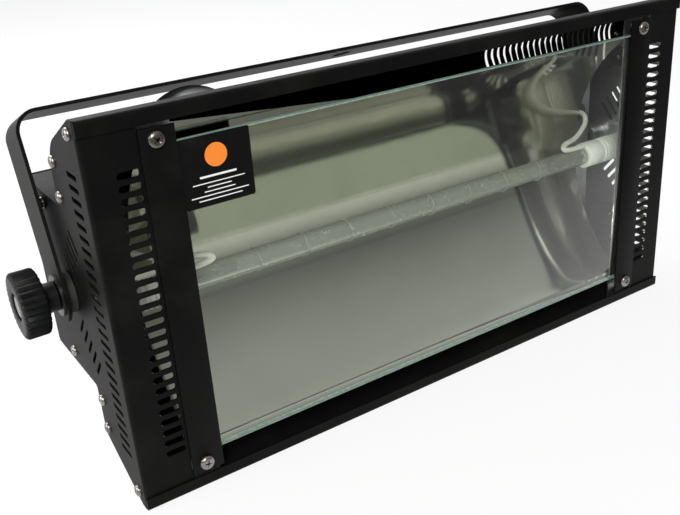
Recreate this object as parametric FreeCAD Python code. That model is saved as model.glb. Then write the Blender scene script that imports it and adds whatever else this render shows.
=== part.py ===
import FreeCAD, Part
import math
import os

os.makedirs("parts", exist_ok=True)

# A strobe light in a folded steel casing, hung by a yoke. Sizes are millimetres.
# The casing is laid out about the middle of its front face: X to the right as seen
# from the front, Y to the rear, Z up. At the end everything is moved so that the
# origin is the hanging hole in the yoke.

Vector = FreeCAD.Vector
ALONG_X = Vector(1, 0, 0)
ALONG_Y = Vector(0, 1, 0)
ALONG_Z = Vector(0, 0, 1)
SIDES = (-1, 1)

# Casing
case_width = 425.0
case_height = 220.0
case_depth = 124.0
chamber_depth = 55.0
nose_depth = 8.0
slant_drop = 23.0
rear_box_height = 110.0
sheet = 1.2
fold_radius = 2.4
top_bend_radius = 27.0
bottom_bend_radius = 4.0
bend_room_share = 0.9
lip_height = 8.0
joint_flange = 6.0
panel_flange = 9.0
cut_overrun = 5.0

# Slots of the side plates
front_flange_width = 29.0
slot_margin = 30.0
slot_pitch = 6.65
front_slot_length = 12.0
front_slot_height = 3.8
front_slot_inset = 1.2
side_slot_start = 12.0
side_slot_length = 15.0
side_slot_height = 3.0
fan_slot_count = 5
fan_slot_length = 15.5
fan_slot_height = 2.6
fan_slot_pitch = 6.55
fan_slot_turn = 48.0
fan_slot_depth = 42.5
fan_slot_drop = 37.8

# Exhaust slots of the top wall
exhaust_count = 23
exhaust_pitch = 5.5
exhaust_width = 2.6
exhaust_end_gap = 6.0
exhaust_reach = 10.5
exhaust_foot_gap = 11.0
exhaust_foot_rise = 6.0
exhaust_lean = 33.0
exhaust_side_gap = 3.0

# Screws of the casing
ear_half = 7.0
ear_inset = 6.5
low_ear_share = 0.203
high_ear_share = 0.797
small_head_radius = 3.4
small_head_height = 2.0
small_shank_radius = 1.75
small_screw_grip = 7.0
large_head_radius = 4.5
large_head_height = 2.6
large_shank_radius = 2.0
hole_clearance = 0.15
cross_width = 0.9
cross_length_share = 1.25
cross_depth_share = 0.55
dome_edge_share = 0.45

# Glass and what holds it
glass_opening = 12.5
glass_lift = 1.0
glass_thickness = 4.0
glass_overlap = 6.0
strip_width = 19.0
strip_end_gap = 2.0
strip_screw_inset = 6.0
strip_screw_offset = 10.5
gasket_thickness = 1.0
gasket_width = 5.5
sleeve_wall = 1.0
label_width = 39.5
label_height = 36.8
label_thickness = 0.2

# Yoke and its clamps
yoke_lean = 19.8
yoke_reach = 100.6
yoke_width = 32.0
yoke_thickness = 2.0
yoke_corner_radius = 13.0
yoke_gap = 5.0
pivot_depth = 69.0
hanging_hole_radius = 6.5
stud_radius = 4.0
running_clearance = 0.05
face_gap = 0.05
washer_radius = 12.0
washer_thickness = 1.2
boss_radius = 8.0
boss_length = 12.0
knob_radius = 19.0
knob_rim_length = 14.0
knob_hub_radius = 8.5
knob_hub_length = 8.0
knob_flutes = 30
flute_radius = 1.4
knob_recess_radius = 8.0
knob_recess_depth = 2.5
knob_edge = 1.0
stud_head_radius = 6.0
stud_head_height = 1.6

# Reflector and lamp
reflector_apex = 60.0
reflector_rim_depth = 12.28
reflector_rim_gap = 22.0
reflector_end_gap = 33.3
reflector_thickness = 0.8
flange_rise = 9.6
flange_side_gap = 49.5
flange_length = 117.0
flange_overlap = 0.4
standoff_radius = 4.0
standoff_rise_share = 0.344
standoff_inset = 58.0
lamp_depth = 36.0
tube_radius = 6.5
run_share = 0.45
tube_wall = 1.3
tube_seat = 8.0
electrode_radius = 1.4
electrode_tip_radius = 3.0
electrode_tip_length = 8.0
electrode_seal = 2.0
electrode_length = 36.0
cap_radius = 9.0
cap_length = 45.0
cap_smooth_length = 15.0
cap_rib_pitch = 3.2
cap_rib_depth = 1.3
holder_size = 26.0
holder_length = 6.3
holder_seat = 3.0
wire_radius = 0.4
band_count = 8
band_pitch = 32.0
band_seam_turn = 37.0
lead_radius = 1.8
lead_exit_inset = 27.3
lead_exit_height = 22.5

# Partition behind the reflector
partition_depth = 64.0
partition_end_gap = 15.3
vent_count = 9
vent_pitch = 12.0
vent_width = 4.0
vent_height = 50.0
grommet_radius = 5.0
grommet_lip = 1.5
terminal_size = 14.0

# Blower that cools the lamp chamber
blower_x = -118.0
blower_height = 58.8
blower_front_gap = 2.8
blower_length_share = 0.417
scroll_radius = 36.0
scroll_wall = 1.5
scroll_outlet_width = 26.0
scroll_outlet_drop = 4.0
scroll_foot = 10.0
intake_radius = 21.0
impeller_radius = 27.0
blade_height = 6.0
blade_count = 28
blade_thickness = 0.8
impeller_gap = 1.5
impeller_hub_radius = 6.0
motor_radius = 14.0
motor_length_share = 0.26
motor_shaft_radius = 2.0
blower_opening_gap = 0.5

# Rear panel
inlet_x = -165.0
inlet_width = 34.0
inlet_height = 27.0
inlet_flange_width = 50.0
inlet_flange_thickness = 3.0
inlet_body_depth = 22.0
inlet_recess_depth = 17.0
inlet_wall = 2.5
inlet_pin_width = 2.0
inlet_pin_height = 4.5
inlet_pin_length = 10.0
inlet_pin_spread = 7.0
inlet_pin_drop = 2.5
inlet_screw_offset = 20.0
panel_screw_radius = 1.75
panel_head_radius = 3.2
panel_head_height = 1.8
panel_screw_grip = 6.0
panel_screw_count = 4
panel_screw_inset = 5.0
fuse_x = -128.0
fuse_radius = 6.0
fuse_cap_radius = 8.0
fuse_cap_length = 7.0
fuse_body_depth = 24.0
fuse_slot_width = 1.2
fuse_slot_depth = 1.5
fuse_slot_share = 0.8
switch_x = -98.0
switch_width = 15.0
switch_height = 24.0
switch_bezel = 2.0
switch_bezel_height = 2.5
switch_body_depth = 14.0
switch_wall = 1.6
rocker_gap = 0.4
rocker_turn = 8.0
rocker_dish = 1.2
rocker_rise = 3.5
rocker_depth = 5.0
rocker_foot_share = 0.75
rocker_swing = 1.2
rocker_pin_radius = 1.2
jack_places = (56.0, 80.0)
jack_body_size = 15.0
jack_body_depth = 20.0
jack_nut_radius = 7.0
jack_nut_height = 2.5
jack_bore_radius = 3.2
jack_bore_depth = 18.0
jack_barrel_radius = 4.6
rate_x = 115.0
intensity_x = 160.0
dial_radius = 10.0
dial_length = 13.0
dial_standoff = 3.0
dial_pointer_width = 1.2
dial_pointer_depth = 0.8
dial_flutes = 18
dial_flute_radius = 0.9
shaft_radius = 3.0
shaft_cover = 3.0
pot_radius = 8.0
pot_depth = 8.0
pot_shaft_share = 0.75
bushing_radius = 3.6
bushing_length = 2.4

# Electronics in the rear box
board_thickness = 1.6
control_board_width = 90.0
control_board_height = 36.0
power_board_start = -200.0
power_board_end = -80.0
power_board_gap = 4.8
standoff_length = 9.8
board_standoff_radius = 3.0
board_standoff_inset = 5.0
heat_sink_width = 46.0
heat_sink_depth = 24.0
heat_sink_height = 22.0
heat_sink_fins = 7
heat_sink_fin = 1.6
heat_sink_base = 3.0
relay_width = 20.0
relay_depth = 16.0
relay_height = 18.0
capacitor_count = 3
capacitor_radius = 15.0
capacitor_height = 72.0
capacitor_start = -52.0
capacitor_pitch = 40.0
capacitor_bead = 1.5
clamp_thickness = 2.0
clamp_height = 32.0
clamp_margin = 6.0
choke_x = 92.0
choke_width = 40.0
choke_room_share = 0.52
choke_height = 34.0
choke_limb = 8.0
choke_winding_gap = 0.5
transformer_x = 160.0
transformer_width = 30.0
transformer_depth = 22.0
transformer_height = 25.0
transformer_drop = 22.0
transformer_pin_radius = 1.2
transformer_pin_length = 5.0


def unit(vector):
    """The direction of a vector, one long."""
    return Vector(vector).multiply(1 / vector.Length)


def box(x_range, y_range, z_range):
    """A box between two bounds along each axis."""
    low = Vector(min(x_range), min(y_range), min(z_range))
    high = Vector(max(x_range), max(y_range), max(z_range))
    size = high - low
    return Part.makeBox(size.x, size.y, size.z, low)


def rod(start, radius, length, axis):
    """A round bar from a point along an axis."""
    return Part.makeCylinder(radius, length, start, axis)


def tube(start, radius, bore, length, axis):
    """A round bar with a bore through it."""
    return rod(start, radius, length, axis).cut(rod(start, bore, length, axis))


def prism_y(profile, y_range):
    """A prism along Y from its outline in X and Z."""
    start, end = y_range
    corners = [Vector(x, start, z) for x, z in profile]
    face = Part.Face(Part.makePolygon(corners + corners[:1]))
    return face.extrude(ALONG_Y * (end - start))


def mirrored_x(shape):
    """The same piece on the other side."""
    return shape.mirror(Vector(0, 0, 0), ALONG_X)


def mirrored_z(shape):
    """The same piece turned from top to bottom."""
    return shape.mirror(Vector(0, 0, 0), ALONG_Z)


def fused(shapes):
    """One solid from several that overlap or touch."""
    whole = shapes[0].multiFuse(shapes[1:]) if len(shapes) > 1 else shapes[0]
    return whole.removeSplitter()


def bend(before, corner, after, radius):
    """Start, middle, end and centre of the arc that rounds a corner."""
    back = unit(before - corner)
    ahead = unit(after - corner)
    half = back.getAngle(ahead) / 2
    inward = unit(back + ahead)
    centre = corner + inward * (radius / math.sin(half))
    start = corner + back * (radius / math.tan(half))
    end = corner + ahead * (radius / math.tan(half))
    return start, centre - inward * radius, end, centre


def right_of(direction):
    """The unit vector to the right of a direction of travel in the YZ plane."""
    return Vector(0, direction.z, -direction.y)


def rounded_outline(points, radii):
    """A face in the YZ plane with rounded corners."""
    corners = [Vector(0, y, z) for y, z in points]
    edges = []
    bends = []
    for index, corner in enumerate(corners):
        after = corners[(index + 1) % len(corners)]
        if radii[index] > 0:
            bends.append(bend(corners[index - 1], corner, after, radii[index]))
        else:
            bends.append((corner, None, corner, corner))
    for index, (start, middle, end, centre) in enumerate(bends):
        if middle is not None:
            edges.append(Part.Arc(start, middle, end).toShape())
        following = bends[(index + 1) % len(bends)][0]
        edges.append(Part.LineSegment(end, following).toShape())
    return Part.Face(Part.Wire(edges))


def folded_sheet(points, radii, thickness, x_range):
    """A sheet folded along a path in the YZ plane, with its thickness to the right of travel."""
    path = [Vector(0, y, z) for y, z in points]
    near = []
    far = []
    first = right_of(unit(path[1] - path[0])) * thickness
    near_end = path[0]
    far_end = path[0] + first
    for index in range(1, len(path) - 1):
        start, middle, end, centre = bend(path[index - 1], path[index], path[index + 1], radii[index - 1])
        side_in = right_of(unit(path[index] - path[index - 1])) * thickness
        side_out = right_of(unit(path[index + 1] - path[index])) * thickness
        towards_right = side_in.dot(centre - start) > 0
        far_radius = radii[index - 1] + (-thickness if towards_right else thickness)
        far_middle = centre + unit(middle - centre) * far_radius
        near.append(Part.LineSegment(near_end, start).toShape())
        near.append(Part.Arc(start, middle, end).toShape())
        far.append(Part.LineSegment(far_end, start + side_in).toShape())
        far.append(Part.Arc(start + side_in, far_middle, end + side_out).toShape())
        near_end = end
        far_end = end + side_out
    last = path[-1] + right_of(unit(path[-1] - path[-2])) * thickness
    near.append(Part.LineSegment(near_end, path[-1]).toShape())
    far.append(Part.LineSegment(far_end, last).toShape())
    tip = [Part.LineSegment(path[-1], last).toShape()]
    root = [Part.LineSegment(path[0] + first, path[0]).toShape()]
    face = Part.Face(Part.Wire(near + tip + far[::-1] + root))
    sheet_solid = face.extrude(ALONG_X * (max(x_range) - min(x_range)))
    sheet_solid.translate(ALONG_X * min(x_range))
    return sheet_solid


def slot_across_x(centre, length, height, turn):
    """A round-ended cutter through a side plate, turned about X from the Y direction."""
    half = length / 2 - height / 2
    middle = box((-cut_overrun, cut_overrun), (-half, half), (-height / 2, height / 2))
    ends = [rod(Vector(-cut_overrun, side * half, 0), height / 2, 2 * cut_overrun, ALONG_X)
            for side in SIDES]
    cutter = fused([middle] + ends)
    cutter.rotate(Vector(0, 0, 0), ALONG_X, turn)
    cutter.translate(centre)
    return cutter


def slot_across_y(centre, length, height):
    """A round-ended cutter through a front flange, long in X."""
    cutter = slot_across_x(Vector(0, 0, 0), length, height, 0)
    cutter.rotate(Vector(0, 0, 0), ALONG_Z, 90)
    cutter.translate(centre)
    return cutter


def cross_screw(seat, outward, head_radius, head_height, shank_radius, grip):
    """A pan head screw with a cross recess, seated at a point with its head outward."""
    edge_height = head_height * dome_edge_share
    rise = head_height - edge_height
    dome_radius = (head_radius ** 2 + rise ** 2) / (2 * rise)
    dome = Part.makeSphere(dome_radius, Vector(0, 0, head_height - dome_radius))
    head = rod(Vector(0, 0, 0), head_radius, head_height, ALONG_Z).common(dome)
    long_half = head_radius * cross_length_share / 2
    wide_half = cross_width / 2
    floor = head_height * (1 - cross_depth_share)
    top = head_height + cut_overrun
    arms = [box((-long_half, long_half), (-wide_half, wide_half), (floor, top)),
            box((-wide_half, wide_half), (-long_half, long_half), (floor, top))]
    head = head.cut(fused(arms))
    shank = rod(Vector(0, 0, -grip), shank_radius, grip, ALONG_Z)
    screw = fused([head, shank])
    turn = FreeCAD.Rotation(ALONG_Z, outward)
    screw.Placement = FreeCAD.Placement(seat, turn)
    return screw


# Places worked out from the sizes
half_width = case_width / 2
half_height = case_height / 2
box_half = rear_box_height / 2
corner_height = half_height - slant_drop
inner_half_width = half_width - sheet
pivot = Vector(0, pivot_depth, 0)
slot_count = int((case_height - 2 * slot_margin) / slot_pitch) + 1
slot_places = [slot_pitch * (index - (slot_count - 1) / 2) for index in range(slot_count)]
exhaust_start = half_width - exhaust_end_gap - exhaust_pitch * (exhaust_count - 1)
glass_height = case_height - 2 * (lip_height + glass_opening)
strip_height = case_height - 2 * (lip_height + strip_end_gap)
glass_back = sheet + glass_thickness
rail_front = glass_back + gasket_thickness
strip_outer = half_width - front_flange_width
strip_inner = strip_outer - strip_width
screw_x = strip_inner + strip_screw_offset
screw_z = strip_height / 2 - strip_screw_inset
step_height = corner_height - box_half
upper_ears = [(nose_depth + ear_half / 2, half_height - sheet - ear_inset),
              (chamber_depth - ear_inset, box_half + high_ear_share * step_height),
              (chamber_depth - ear_inset, box_half + low_ear_share * step_height)]
knob_hub_start = half_width + yoke_gap + yoke_thickness + washer_thickness + face_gap
reflector_half_width = inner_half_width - reflector_end_gap
reflector_rim = half_height - reflector_rim_gap
reflector_sag = reflector_apex - reflector_rim_depth
reflector_radius = (reflector_rim ** 2 + reflector_sag ** 2) / (2 * reflector_sag)
standoff_place = reflector_half_width - standoff_inset
standoff_height = box_half + standoff_rise_share * step_height
cap_end = inner_half_width - holder_length
cap_start = cap_end - cap_length
tube_half_length = cap_start + tube_seat
arc_half_length = cap_start - electrode_length
lead_exit_x = inner_half_width - lead_exit_inset
floor = sheet - box_half
box_front = partition_depth + sheet
box_rear = case_depth - sheet
box_room = box_rear - box_front
blower_front = box_front + blower_front_gap
blower_length = blower_length_share * box_room
motor_length = motor_length_share * box_room
power_board_front = box_front + power_board_gap
power_board_rear = box_rear - power_board_gap
capacitor_depth = (box_front + box_rear) / 2
choke_depth = (box_front + box_rear) / 2
choke_length = choke_room_share * box_room
foot_start = math.sqrt(scroll_radius ** 2 - (blower_height - box_half) ** 2) - scroll_wall
box_ear = ((chamber_depth + case_depth) / 2, box_half - sheet - ear_inset)
ear_places = [(y, side * z) for y, z in upper_ears + [box_ear] for side in SIDES]

# The right lamp lead, from the cap round the reflector's end to its terminal
lead_end = partition_depth + sheet + grommet_lip
lead_front = lamp_depth - lead_radius
lead_route = [(cap_start, lead_front, cap_radius - lead_radius / 2),
              (cap_start - 20.5, 33.2, 7.8),
              (cap_start - 21.0, 35.6, 12.4),
              (cap_start - 3.5, 40.5, 12.2),
              (cap_start + 8.5, 45.5, 14.6),
              (cap_start + 18.5, 50.5, 18.0),
              (cap_start + 23.2, 56.0, 21.4),
              (lead_exit_x, 61.0, lead_exit_height),
              (lead_exit_x, lead_end, lead_exit_height)]


def step_bend(radius):
    """The radius of the bend between a slant and the wall below it, limited by that wall."""
    turn = math.atan2(chamber_depth - nose_depth, slant_drop)
    return min(radius, bend_room_share * step_height / math.tan(turn / 2))


def casing_outline(upper_radius, lower_radius):
    """The outline of a side plate, as a face in the YZ plane."""
    upper = [(sheet, half_height), (nose_depth, half_height), (chamber_depth, corner_height),
             (chamber_depth, box_half), (case_depth, box_half)]
    radii = [0, fold_radius, upper_radius, fold_radius, fold_radius]
    lower = [(y, -z) for y, z in reversed(upper)]
    lower_radii = [fold_radius, fold_radius, lower_radius, fold_radius, 0]
    return rounded_outline(upper + lower, radii + lower_radii)


def outline_prism(x_range):
    """The space inside the outline of the casing, between two places along X."""
    length = max(x_range) - min(x_range)
    prism = casing_outline(step_bend(top_bend_radius), step_bend(bottom_bend_radius))
    prism = prism.extrude(ALONG_X * length)
    prism.translate(ALONG_X * min(x_range))
    return prism


def diagonal_slots():
    """Cutters of the slanting groups in front of the pivot, above and below it."""
    cutters = []
    turn = math.radians(fan_slot_turn)
    step = Vector(0, math.cos(turn), math.sin(turn)) * fan_slot_pitch
    for index in range(fan_slot_count):
        centre = Vector(0, fan_slot_depth, -fan_slot_drop) + step * index
        cutters.append((centre, -fan_slot_turn))
        cutters.append((Vector(0, centre.y, -centre.z), fan_slot_turn))
    return cutters


def side_plate():
    """The right side plate: folded at the front, slotted, drilled for the pivot and the screws."""
    flange_edge = half_width - front_flange_width
    path = [(sheet, flange_edge), (sheet, half_width), (case_depth, half_width)]
    bent = folded_sheet(path, [fold_radius], sheet, (-half_height, half_height))
    # the fold is drawn with its height along X and its width along Z
    bent.rotate(Vector(0, 0, 0), ALONG_Y, 90)
    plate = bent.common(outline_prism((0, half_width)))
    under_wall = half_height - sheet
    for side in SIDES:
        ceiling = side * (under_wall + cut_overrun)
        plate = plate.cut(box((0, inner_half_width), (0, case_depth), (side * under_wall, ceiling)))
    cutters = []
    slot_x = flange_edge + front_slot_inset + front_slot_length / 2
    for z in slot_places:
        cutters.append(slot_across_y(Vector(slot_x, sheet, z), front_slot_length, front_slot_height))
        centre = Vector(half_width, side_slot_start + side_slot_length / 2, z)
        cutters.append(slot_across_x(centre, side_slot_length, side_slot_height, 0))
    for centre, turn in diagonal_slots():
        centre = centre + ALONG_X * half_width
        cutters.append(slot_across_x(centre, fan_slot_length, fan_slot_height, turn))
    start = half_width - cut_overrun
    for y, z in ear_places:
        hole = small_shank_radius + hole_clearance
        cutters.append(rod(Vector(start, y, z), hole, 2 * cut_overrun, ALONG_X))
    cutters.append(rod(pivot + ALONG_X * start, stud_radius + running_clearance, 2 * cut_overrun, ALONG_X))
    return plate.cut(Part.makeCompound(cutters))


def ears(places):
    """Lugs at both ends of a wall, drilled for the screws of the side plates."""
    solids = []
    for y, z in places:
        for side in SIDES:
            ends = sorted((side * (inner_half_width - sheet), side * inner_half_width))
            lug = box(ends, (y - ear_half, y + ear_half), (z - ear_half, z + ear_half))
            lug = lug.common(outline_prism(ends))
            start = Vector(ends[0] - cut_overrun, y, z)
            solids.append(lug.cut(rod(start, small_shank_radius, sheet + 2 * cut_overrun, ALONG_X)))
    return solids


def chamber_wall(rear_radius):
    """The upper wall of the lamp chamber, from its front lip to the top of the rear box."""
    path = [(0, half_height - lip_height), (0, half_height), (nose_depth, half_height),
            (chamber_depth, corner_height), (chamber_depth, box_half - sheet)]
    radii = [fold_radius, fold_radius, step_bend(rear_radius)]
    wall = folded_sheet(path, radii, sheet, (-half_width, half_width))
    ends = []
    for side in SIDES:
        x_range = (side * inner_half_width, side * (half_width + cut_overrun))
        ends.append(box(x_range, (sheet, case_depth), (0, half_height + cut_overrun)))
    wall = wall.cut(Part.makeCompound(ends))
    return fused([wall] + ears(upper_ears))


def wall_top():
    """The top wall with its leaning exhaust slots on the right."""
    foot = box_half + exhaust_foot_gap
    middle = (foot + corner_height) / 2
    reach = half_height - box_half
    depths = (chamber_depth - exhaust_reach, chamber_depth + cut_overrun)
    cutters = []
    for index in range(exhaust_count):
        cutter = box((-exhaust_width / 2, exhaust_width / 2), depths, (-reach, reach))
        cutter.rotate(Vector(0, 0, 0), ALONG_Y, -exhaust_lean)
        cutter.translate(Vector(exhaust_start + exhaust_pitch * index, 0, middle))
        cutters.append(cutter)
    # the lower ends of the slots rise towards the side
    edge = half_width - exhaust_side_gap
    room = prism_y([(0, foot), (exhaust_start, foot), (edge, foot + exhaust_foot_rise),
                    (edge, half_height), (0, half_height)], depths)
    return chamber_wall(top_bend_radius).cut(Part.makeCompound(cutters).common(room))


def rear_wall():
    """The upper wall of the rear box, with a flange to the chamber and one for the panel."""
    front = chamber_depth + sheet
    rear = case_depth - sheet
    path = [(front, box_half + joint_flange), (front, box_half),
            (rear, box_half), (rear, box_half - panel_flange)]
    wall = folded_sheet(path, [fold_radius, fold_radius], sheet, (-inner_half_width, inner_half_width))
    start = rear - sheet - cut_overrun
    holes = [rod(Vector(x, start, z), panel_screw_radius, sheet + 2 * cut_overrun, ALONG_Y)
             for x, z in panel_screw_places() if z > 0]
    return fused([wall] + ears([box_ear])).cut(Part.makeCompound(holes))


def yoke_bracket():
    """A flat bar bent to a U, with round ends at the pivot and a hanging hole in its middle."""
    outer = half_width + yoke_gap + yoke_thickness
    foot = -yoke_width / 2
    path = [(-outer, foot), (-outer, yoke_reach), (outer, yoke_reach), (outer, foot)]
    bar = folded_sheet(path, [yoke_corner_radius] * 2, yoke_thickness, (-yoke_width / 2, yoke_width / 2))
    bar.rotate(Vector(0, 0, 0), ALONG_Z, -90)
    span = 2 * (outer + cut_overrun)
    rounded = rod(Vector(-span / 2, 0, 0), yoke_width / 2, span, ALONG_X)
    upper = box((-span / 2, span / 2), (-yoke_width / 2, yoke_width / 2), (0, yoke_reach + cut_overrun))
    bar = bar.common(fused([rounded, upper]))
    bar = bar.cut(rod(Vector(-span / 2, 0, 0), stud_radius + running_clearance, span, ALONG_X))
    top = Vector(0, 0, yoke_reach - yoke_thickness - cut_overrun)
    bar = bar.cut(rod(top, hanging_hole_radius, yoke_thickness + 2 * cut_overrun, ALONG_Z))
    bar.rotate(Vector(0, 0, 0), ALONG_X, -yoke_lean)
    bar.translate(pivot)
    return bar


def knob():
    """The right clamp knob: a fluted rim on a smaller hub, with a round recess outside."""
    rim_start = knob_hub_start + knob_hub_length
    rim_end = rim_start + knob_rim_length
    hub = rod(pivot + ALONG_X * knob_hub_start, knob_hub_radius, knob_hub_length, ALONG_X)
    profile = [(0, rim_start), (knob_radius - knob_edge, rim_start), (knob_radius, rim_start + knob_edge),
               (knob_radius, rim_end - knob_edge), (knob_radius - knob_edge, rim_end), (0, rim_end)]
    corners = [Vector(x, pivot.y + y, 0) for y, x in profile]
    face = Part.Face(Part.makePolygon(corners + corners[:1]))
    rim = face.revolve(pivot, ALONG_X, 360)
    cutters = []
    for index in range(knob_flutes):
        angle = 2 * math.pi * index / knob_flutes
        outward = Vector(0, math.cos(angle), math.sin(angle))
        start = pivot + outward * (knob_radius + flute_radius / 2) + ALONG_X * (rim_start - cut_overrun)
        cutters.append(rod(start, flute_radius, knob_rim_length + 2 * cut_overrun, ALONG_X))
    recess = rod(pivot + ALONG_X * (rim_end - knob_recess_depth), knob_recess_radius,
                 knob_recess_depth + cut_overrun, ALONG_X)
    cutters.append(recess)
    bore = rod(pivot + ALONG_X * (knob_hub_start - cut_overrun), stud_radius,
               rim_end - knob_hub_start + cut_overrun, ALONG_X)
    cutters.append(bore)
    return fused([hub, rim]).cut(Part.makeCompound(cutters))


def knob_stud():
    """The right clamp bolt: its head lies in the knob's recess, its shank screws into the boss."""
    rim_end = knob_hub_start + knob_hub_length + knob_rim_length
    seat = rim_end - knob_recess_depth
    start = inner_half_width - boss_length
    shank = rod(pivot + ALONG_X * start, stud_radius, seat - start, ALONG_X)
    head = rod(pivot + ALONG_X * seat, stud_head_radius, stud_head_height, ALONG_X)
    return fused([shank, head])


def pivot_ring(start, length, radius):
    """A pair of rings about the pivots, one each side, bored for the clamp bolts."""
    ring = tube(pivot + ALONG_X * start, radius, stud_radius + running_clearance, length, ALONG_X)
    return Part.makeCompound([ring, mirrored_x(ring)])


def side_screws():
    """The screws of the right side plate."""
    screws = []
    for y, z in ear_places:
        screws.append(cross_screw(Vector(half_width, y, z), ALONG_X, small_head_radius, small_head_height,
                                  small_shank_radius, small_screw_grip))
    return Part.makeCompound(screws)


def glass_pane():
    """The front glass, open along its top and bottom edges."""
    glass_half = strip_inner + glass_overlap
    return box((-glass_half, glass_half), (sheet, glass_back),
               (glass_lift - glass_height / 2, glass_lift + glass_height / 2))


def glass_gasket():
    """The seal between the glass and the right rail."""
    return box((strip_inner, strip_inner + gasket_width), (glass_back, rail_front),
               (glass_lift - glass_height / 2, glass_lift + glass_height / 2))


def strip_screw_holes(radius):
    """Cutters for the two screws of the right strip."""
    length = rail_front + sheet + 2 * cut_overrun
    cutters = [rod(Vector(screw_x, -cut_overrun, side * screw_z), radius, length, ALONG_Y) for side in SIDES]
    return Part.makeCompound(cutters)


def glass_strip():
    """The right strip that holds the edge of the glass."""
    strip = box((strip_inner, strip_outer), (0, sheet), (-strip_height / 2, strip_height / 2))
    return strip.cut(strip_screw_holes(large_shank_radius + hole_clearance))


def glass_rail():
    """The right rail behind the glass, with a foot under each wall's nose."""
    under_wall = half_height - sheet
    rail = box((strip_inner, strip_outer), (rail_front, rail_front + sheet), (-under_wall, under_wall))
    feet = []
    for side in SIDES:
        z_range = (side * (under_wall - sheet), side * under_wall)
        feet.append(box((strip_inner, strip_outer), (fold_radius, rail_front), z_range))
    return fused([rail] + feet).cut(strip_screw_holes(large_shank_radius))


def strip_sleeves():
    """Spacers round the strip screws, beside the glass."""
    sleeves = []
    outer = large_shank_radius + sleeve_wall
    for side in SIDES:
        start = Vector(screw_x, sheet, side * screw_z)
        sleeves.append(tube(start, outer, large_shank_radius, rail_front - sheet, ALONG_Y))
    return Part.makeCompound(sleeves + [mirrored_x(sleeve) for sleeve in sleeves])


def strip_screws():
    """The four large screws of the strips."""
    screws = []
    for side_x in SIDES:
        for side_z in SIDES:
            seat = Vector(side_x * screw_x, 0, side_z * screw_z)
            screws.append(cross_screw(seat, -ALONG_Y, large_head_radius, large_head_height,
                                      large_shank_radius, rail_front + 2 * sheet))
    return Part.makeCompound(screws)


def label_plate():
    """A bare label on the upper left corner of the glass."""
    top = glass_lift + glass_height / 2
    return box((-strip_inner, -strip_inner + label_width), (sheet - label_thickness, sheet),
               (top - label_height, top))


def reflector():
    """A trough of bright sheet behind the lamp, round in section."""
    centre = Vector(-reflector_half_width, reflector_apex - reflector_radius, 0)
    outer = reflector_radius + reflector_thickness
    trough = tube(centre, outer, reflector_radius, 2 * reflector_half_width, ALONG_X)
    keep = box((-reflector_half_width, reflector_half_width), (0, reflector_apex + cut_overrun),
               (-reflector_rim, reflector_rim))
    # the wing on the upper rim tapers off towards the exhaust slots, so that the air gets past it
    foot = reflector_rim - flange_overlap
    start = flange_side_gap - half_width
    flange = prism_y([(start, foot), (start + flange_length, foot), (start, reflector_rim + flange_rise)],
                     (reflector_rim_depth, reflector_rim_depth + reflector_thickness))
    return fused([trough.common(keep), flange])


def reflector_standoffs():
    """Posts between the back of the reflector and the chamber's rear walls."""
    centre = Vector(-reflector_half_width, reflector_apex - reflector_radius, 0)
    core = rod(centre, reflector_radius + reflector_thickness, 2 * reflector_half_width, ALONG_X)
    posts = []
    for side_x in SIDES:
        for side_z in SIDES:
            start = Vector(side_x * standoff_place, nose_depth, side_z * standoff_height)
            post = rod(start, standoff_radius, chamber_depth - sheet - nose_depth, ALONG_Y)
            posts.append(post.cut(core))
    return Part.makeCompound(posts)


def lamp_tube():
    """The straight flash tube of quartz, closed at both ends."""
    start = Vector(-tube_half_length, lamp_depth, 0)
    bore_half = cap_start - electrode_seal
    bore = rod(Vector(-bore_half, lamp_depth, 0), tube_radius - tube_wall, 2 * bore_half, ALONG_X)
    return rod(start, tube_radius, 2 * tube_half_length, ALONG_X).cut(bore)


def lamp_electrodes():
    """The two electrodes, each a rod with a thicker tip."""
    length = cap_start - electrode_seal - arc_half_length
    stem = rod(Vector(arc_half_length, lamp_depth, 0), electrode_radius, length, ALONG_X)
    tip = rod(Vector(arc_half_length, lamp_depth, 0), electrode_tip_radius, electrode_tip_length, ALONG_X)
    electrode = fused([stem, tip])
    return Part.makeCompound([electrode, mirrored_x(electrode)])


def trigger_wire():
    """The fine trigger wire: bands round the tube and a straight run on their backs."""
    radius = tube_radius + wire_radius
    reach = band_pitch * (band_count - 1) / 2
    start = Vector(-reach - 2 * wire_radius, lamp_depth + radius + wire_radius / 2, 0)
    straight = rod(start, wire_radius, cap_start - start.x, ALONG_X)
    bands = []
    for index in range(band_count):
        place = Vector(band_pitch * index - reach, lamp_depth, 0)
        band = Part.makeTorus(radius, wire_radius, place, ALONG_X)
        # each band's seam is turned away from the straight run
        band.rotate(place, ALONG_X, band_seam_turn)
        bands.append(band)
    return fused([straight] + bands)


def lamp_cap():
    """The right ceramic cap, smooth and then ribbed."""
    cap = rod(Vector(cap_start, lamp_depth, 0), cap_radius, cap_end - cap_start, ALONG_X)
    seat = rod(Vector(cap_start - cut_overrun, lamp_depth, 0), tube_radius,
               tube_half_length - cap_start + cut_overrun, ALONG_X)
    cutters = [seat]
    ribbed = cap_end - holder_seat - cap_start - cap_smooth_length
    core = cap_radius - cap_rib_depth
    for index in range(int(ribbed / cap_rib_pitch)):
        start = Vector(cap_start + cap_smooth_length + cap_rib_pitch * index, lamp_depth, 0)
        cutters.append(tube(start, cap_radius + cut_overrun, core, cap_rib_pitch / 2, ALONG_X))
    return cap.cut(Part.makeCompound(cutters))


def lamp_holder():
    """The right lamp holder, between the cap and the side plate."""
    half = holder_size / 2
    block = box((cap_end - holder_seat, inner_half_width), (lamp_depth - half, lamp_depth + half),
                (-half, half))
    return block.cut(rod(Vector(cap_end - holder_seat, lamp_depth, 0), cap_radius, holder_seat, ALONG_X))


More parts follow.
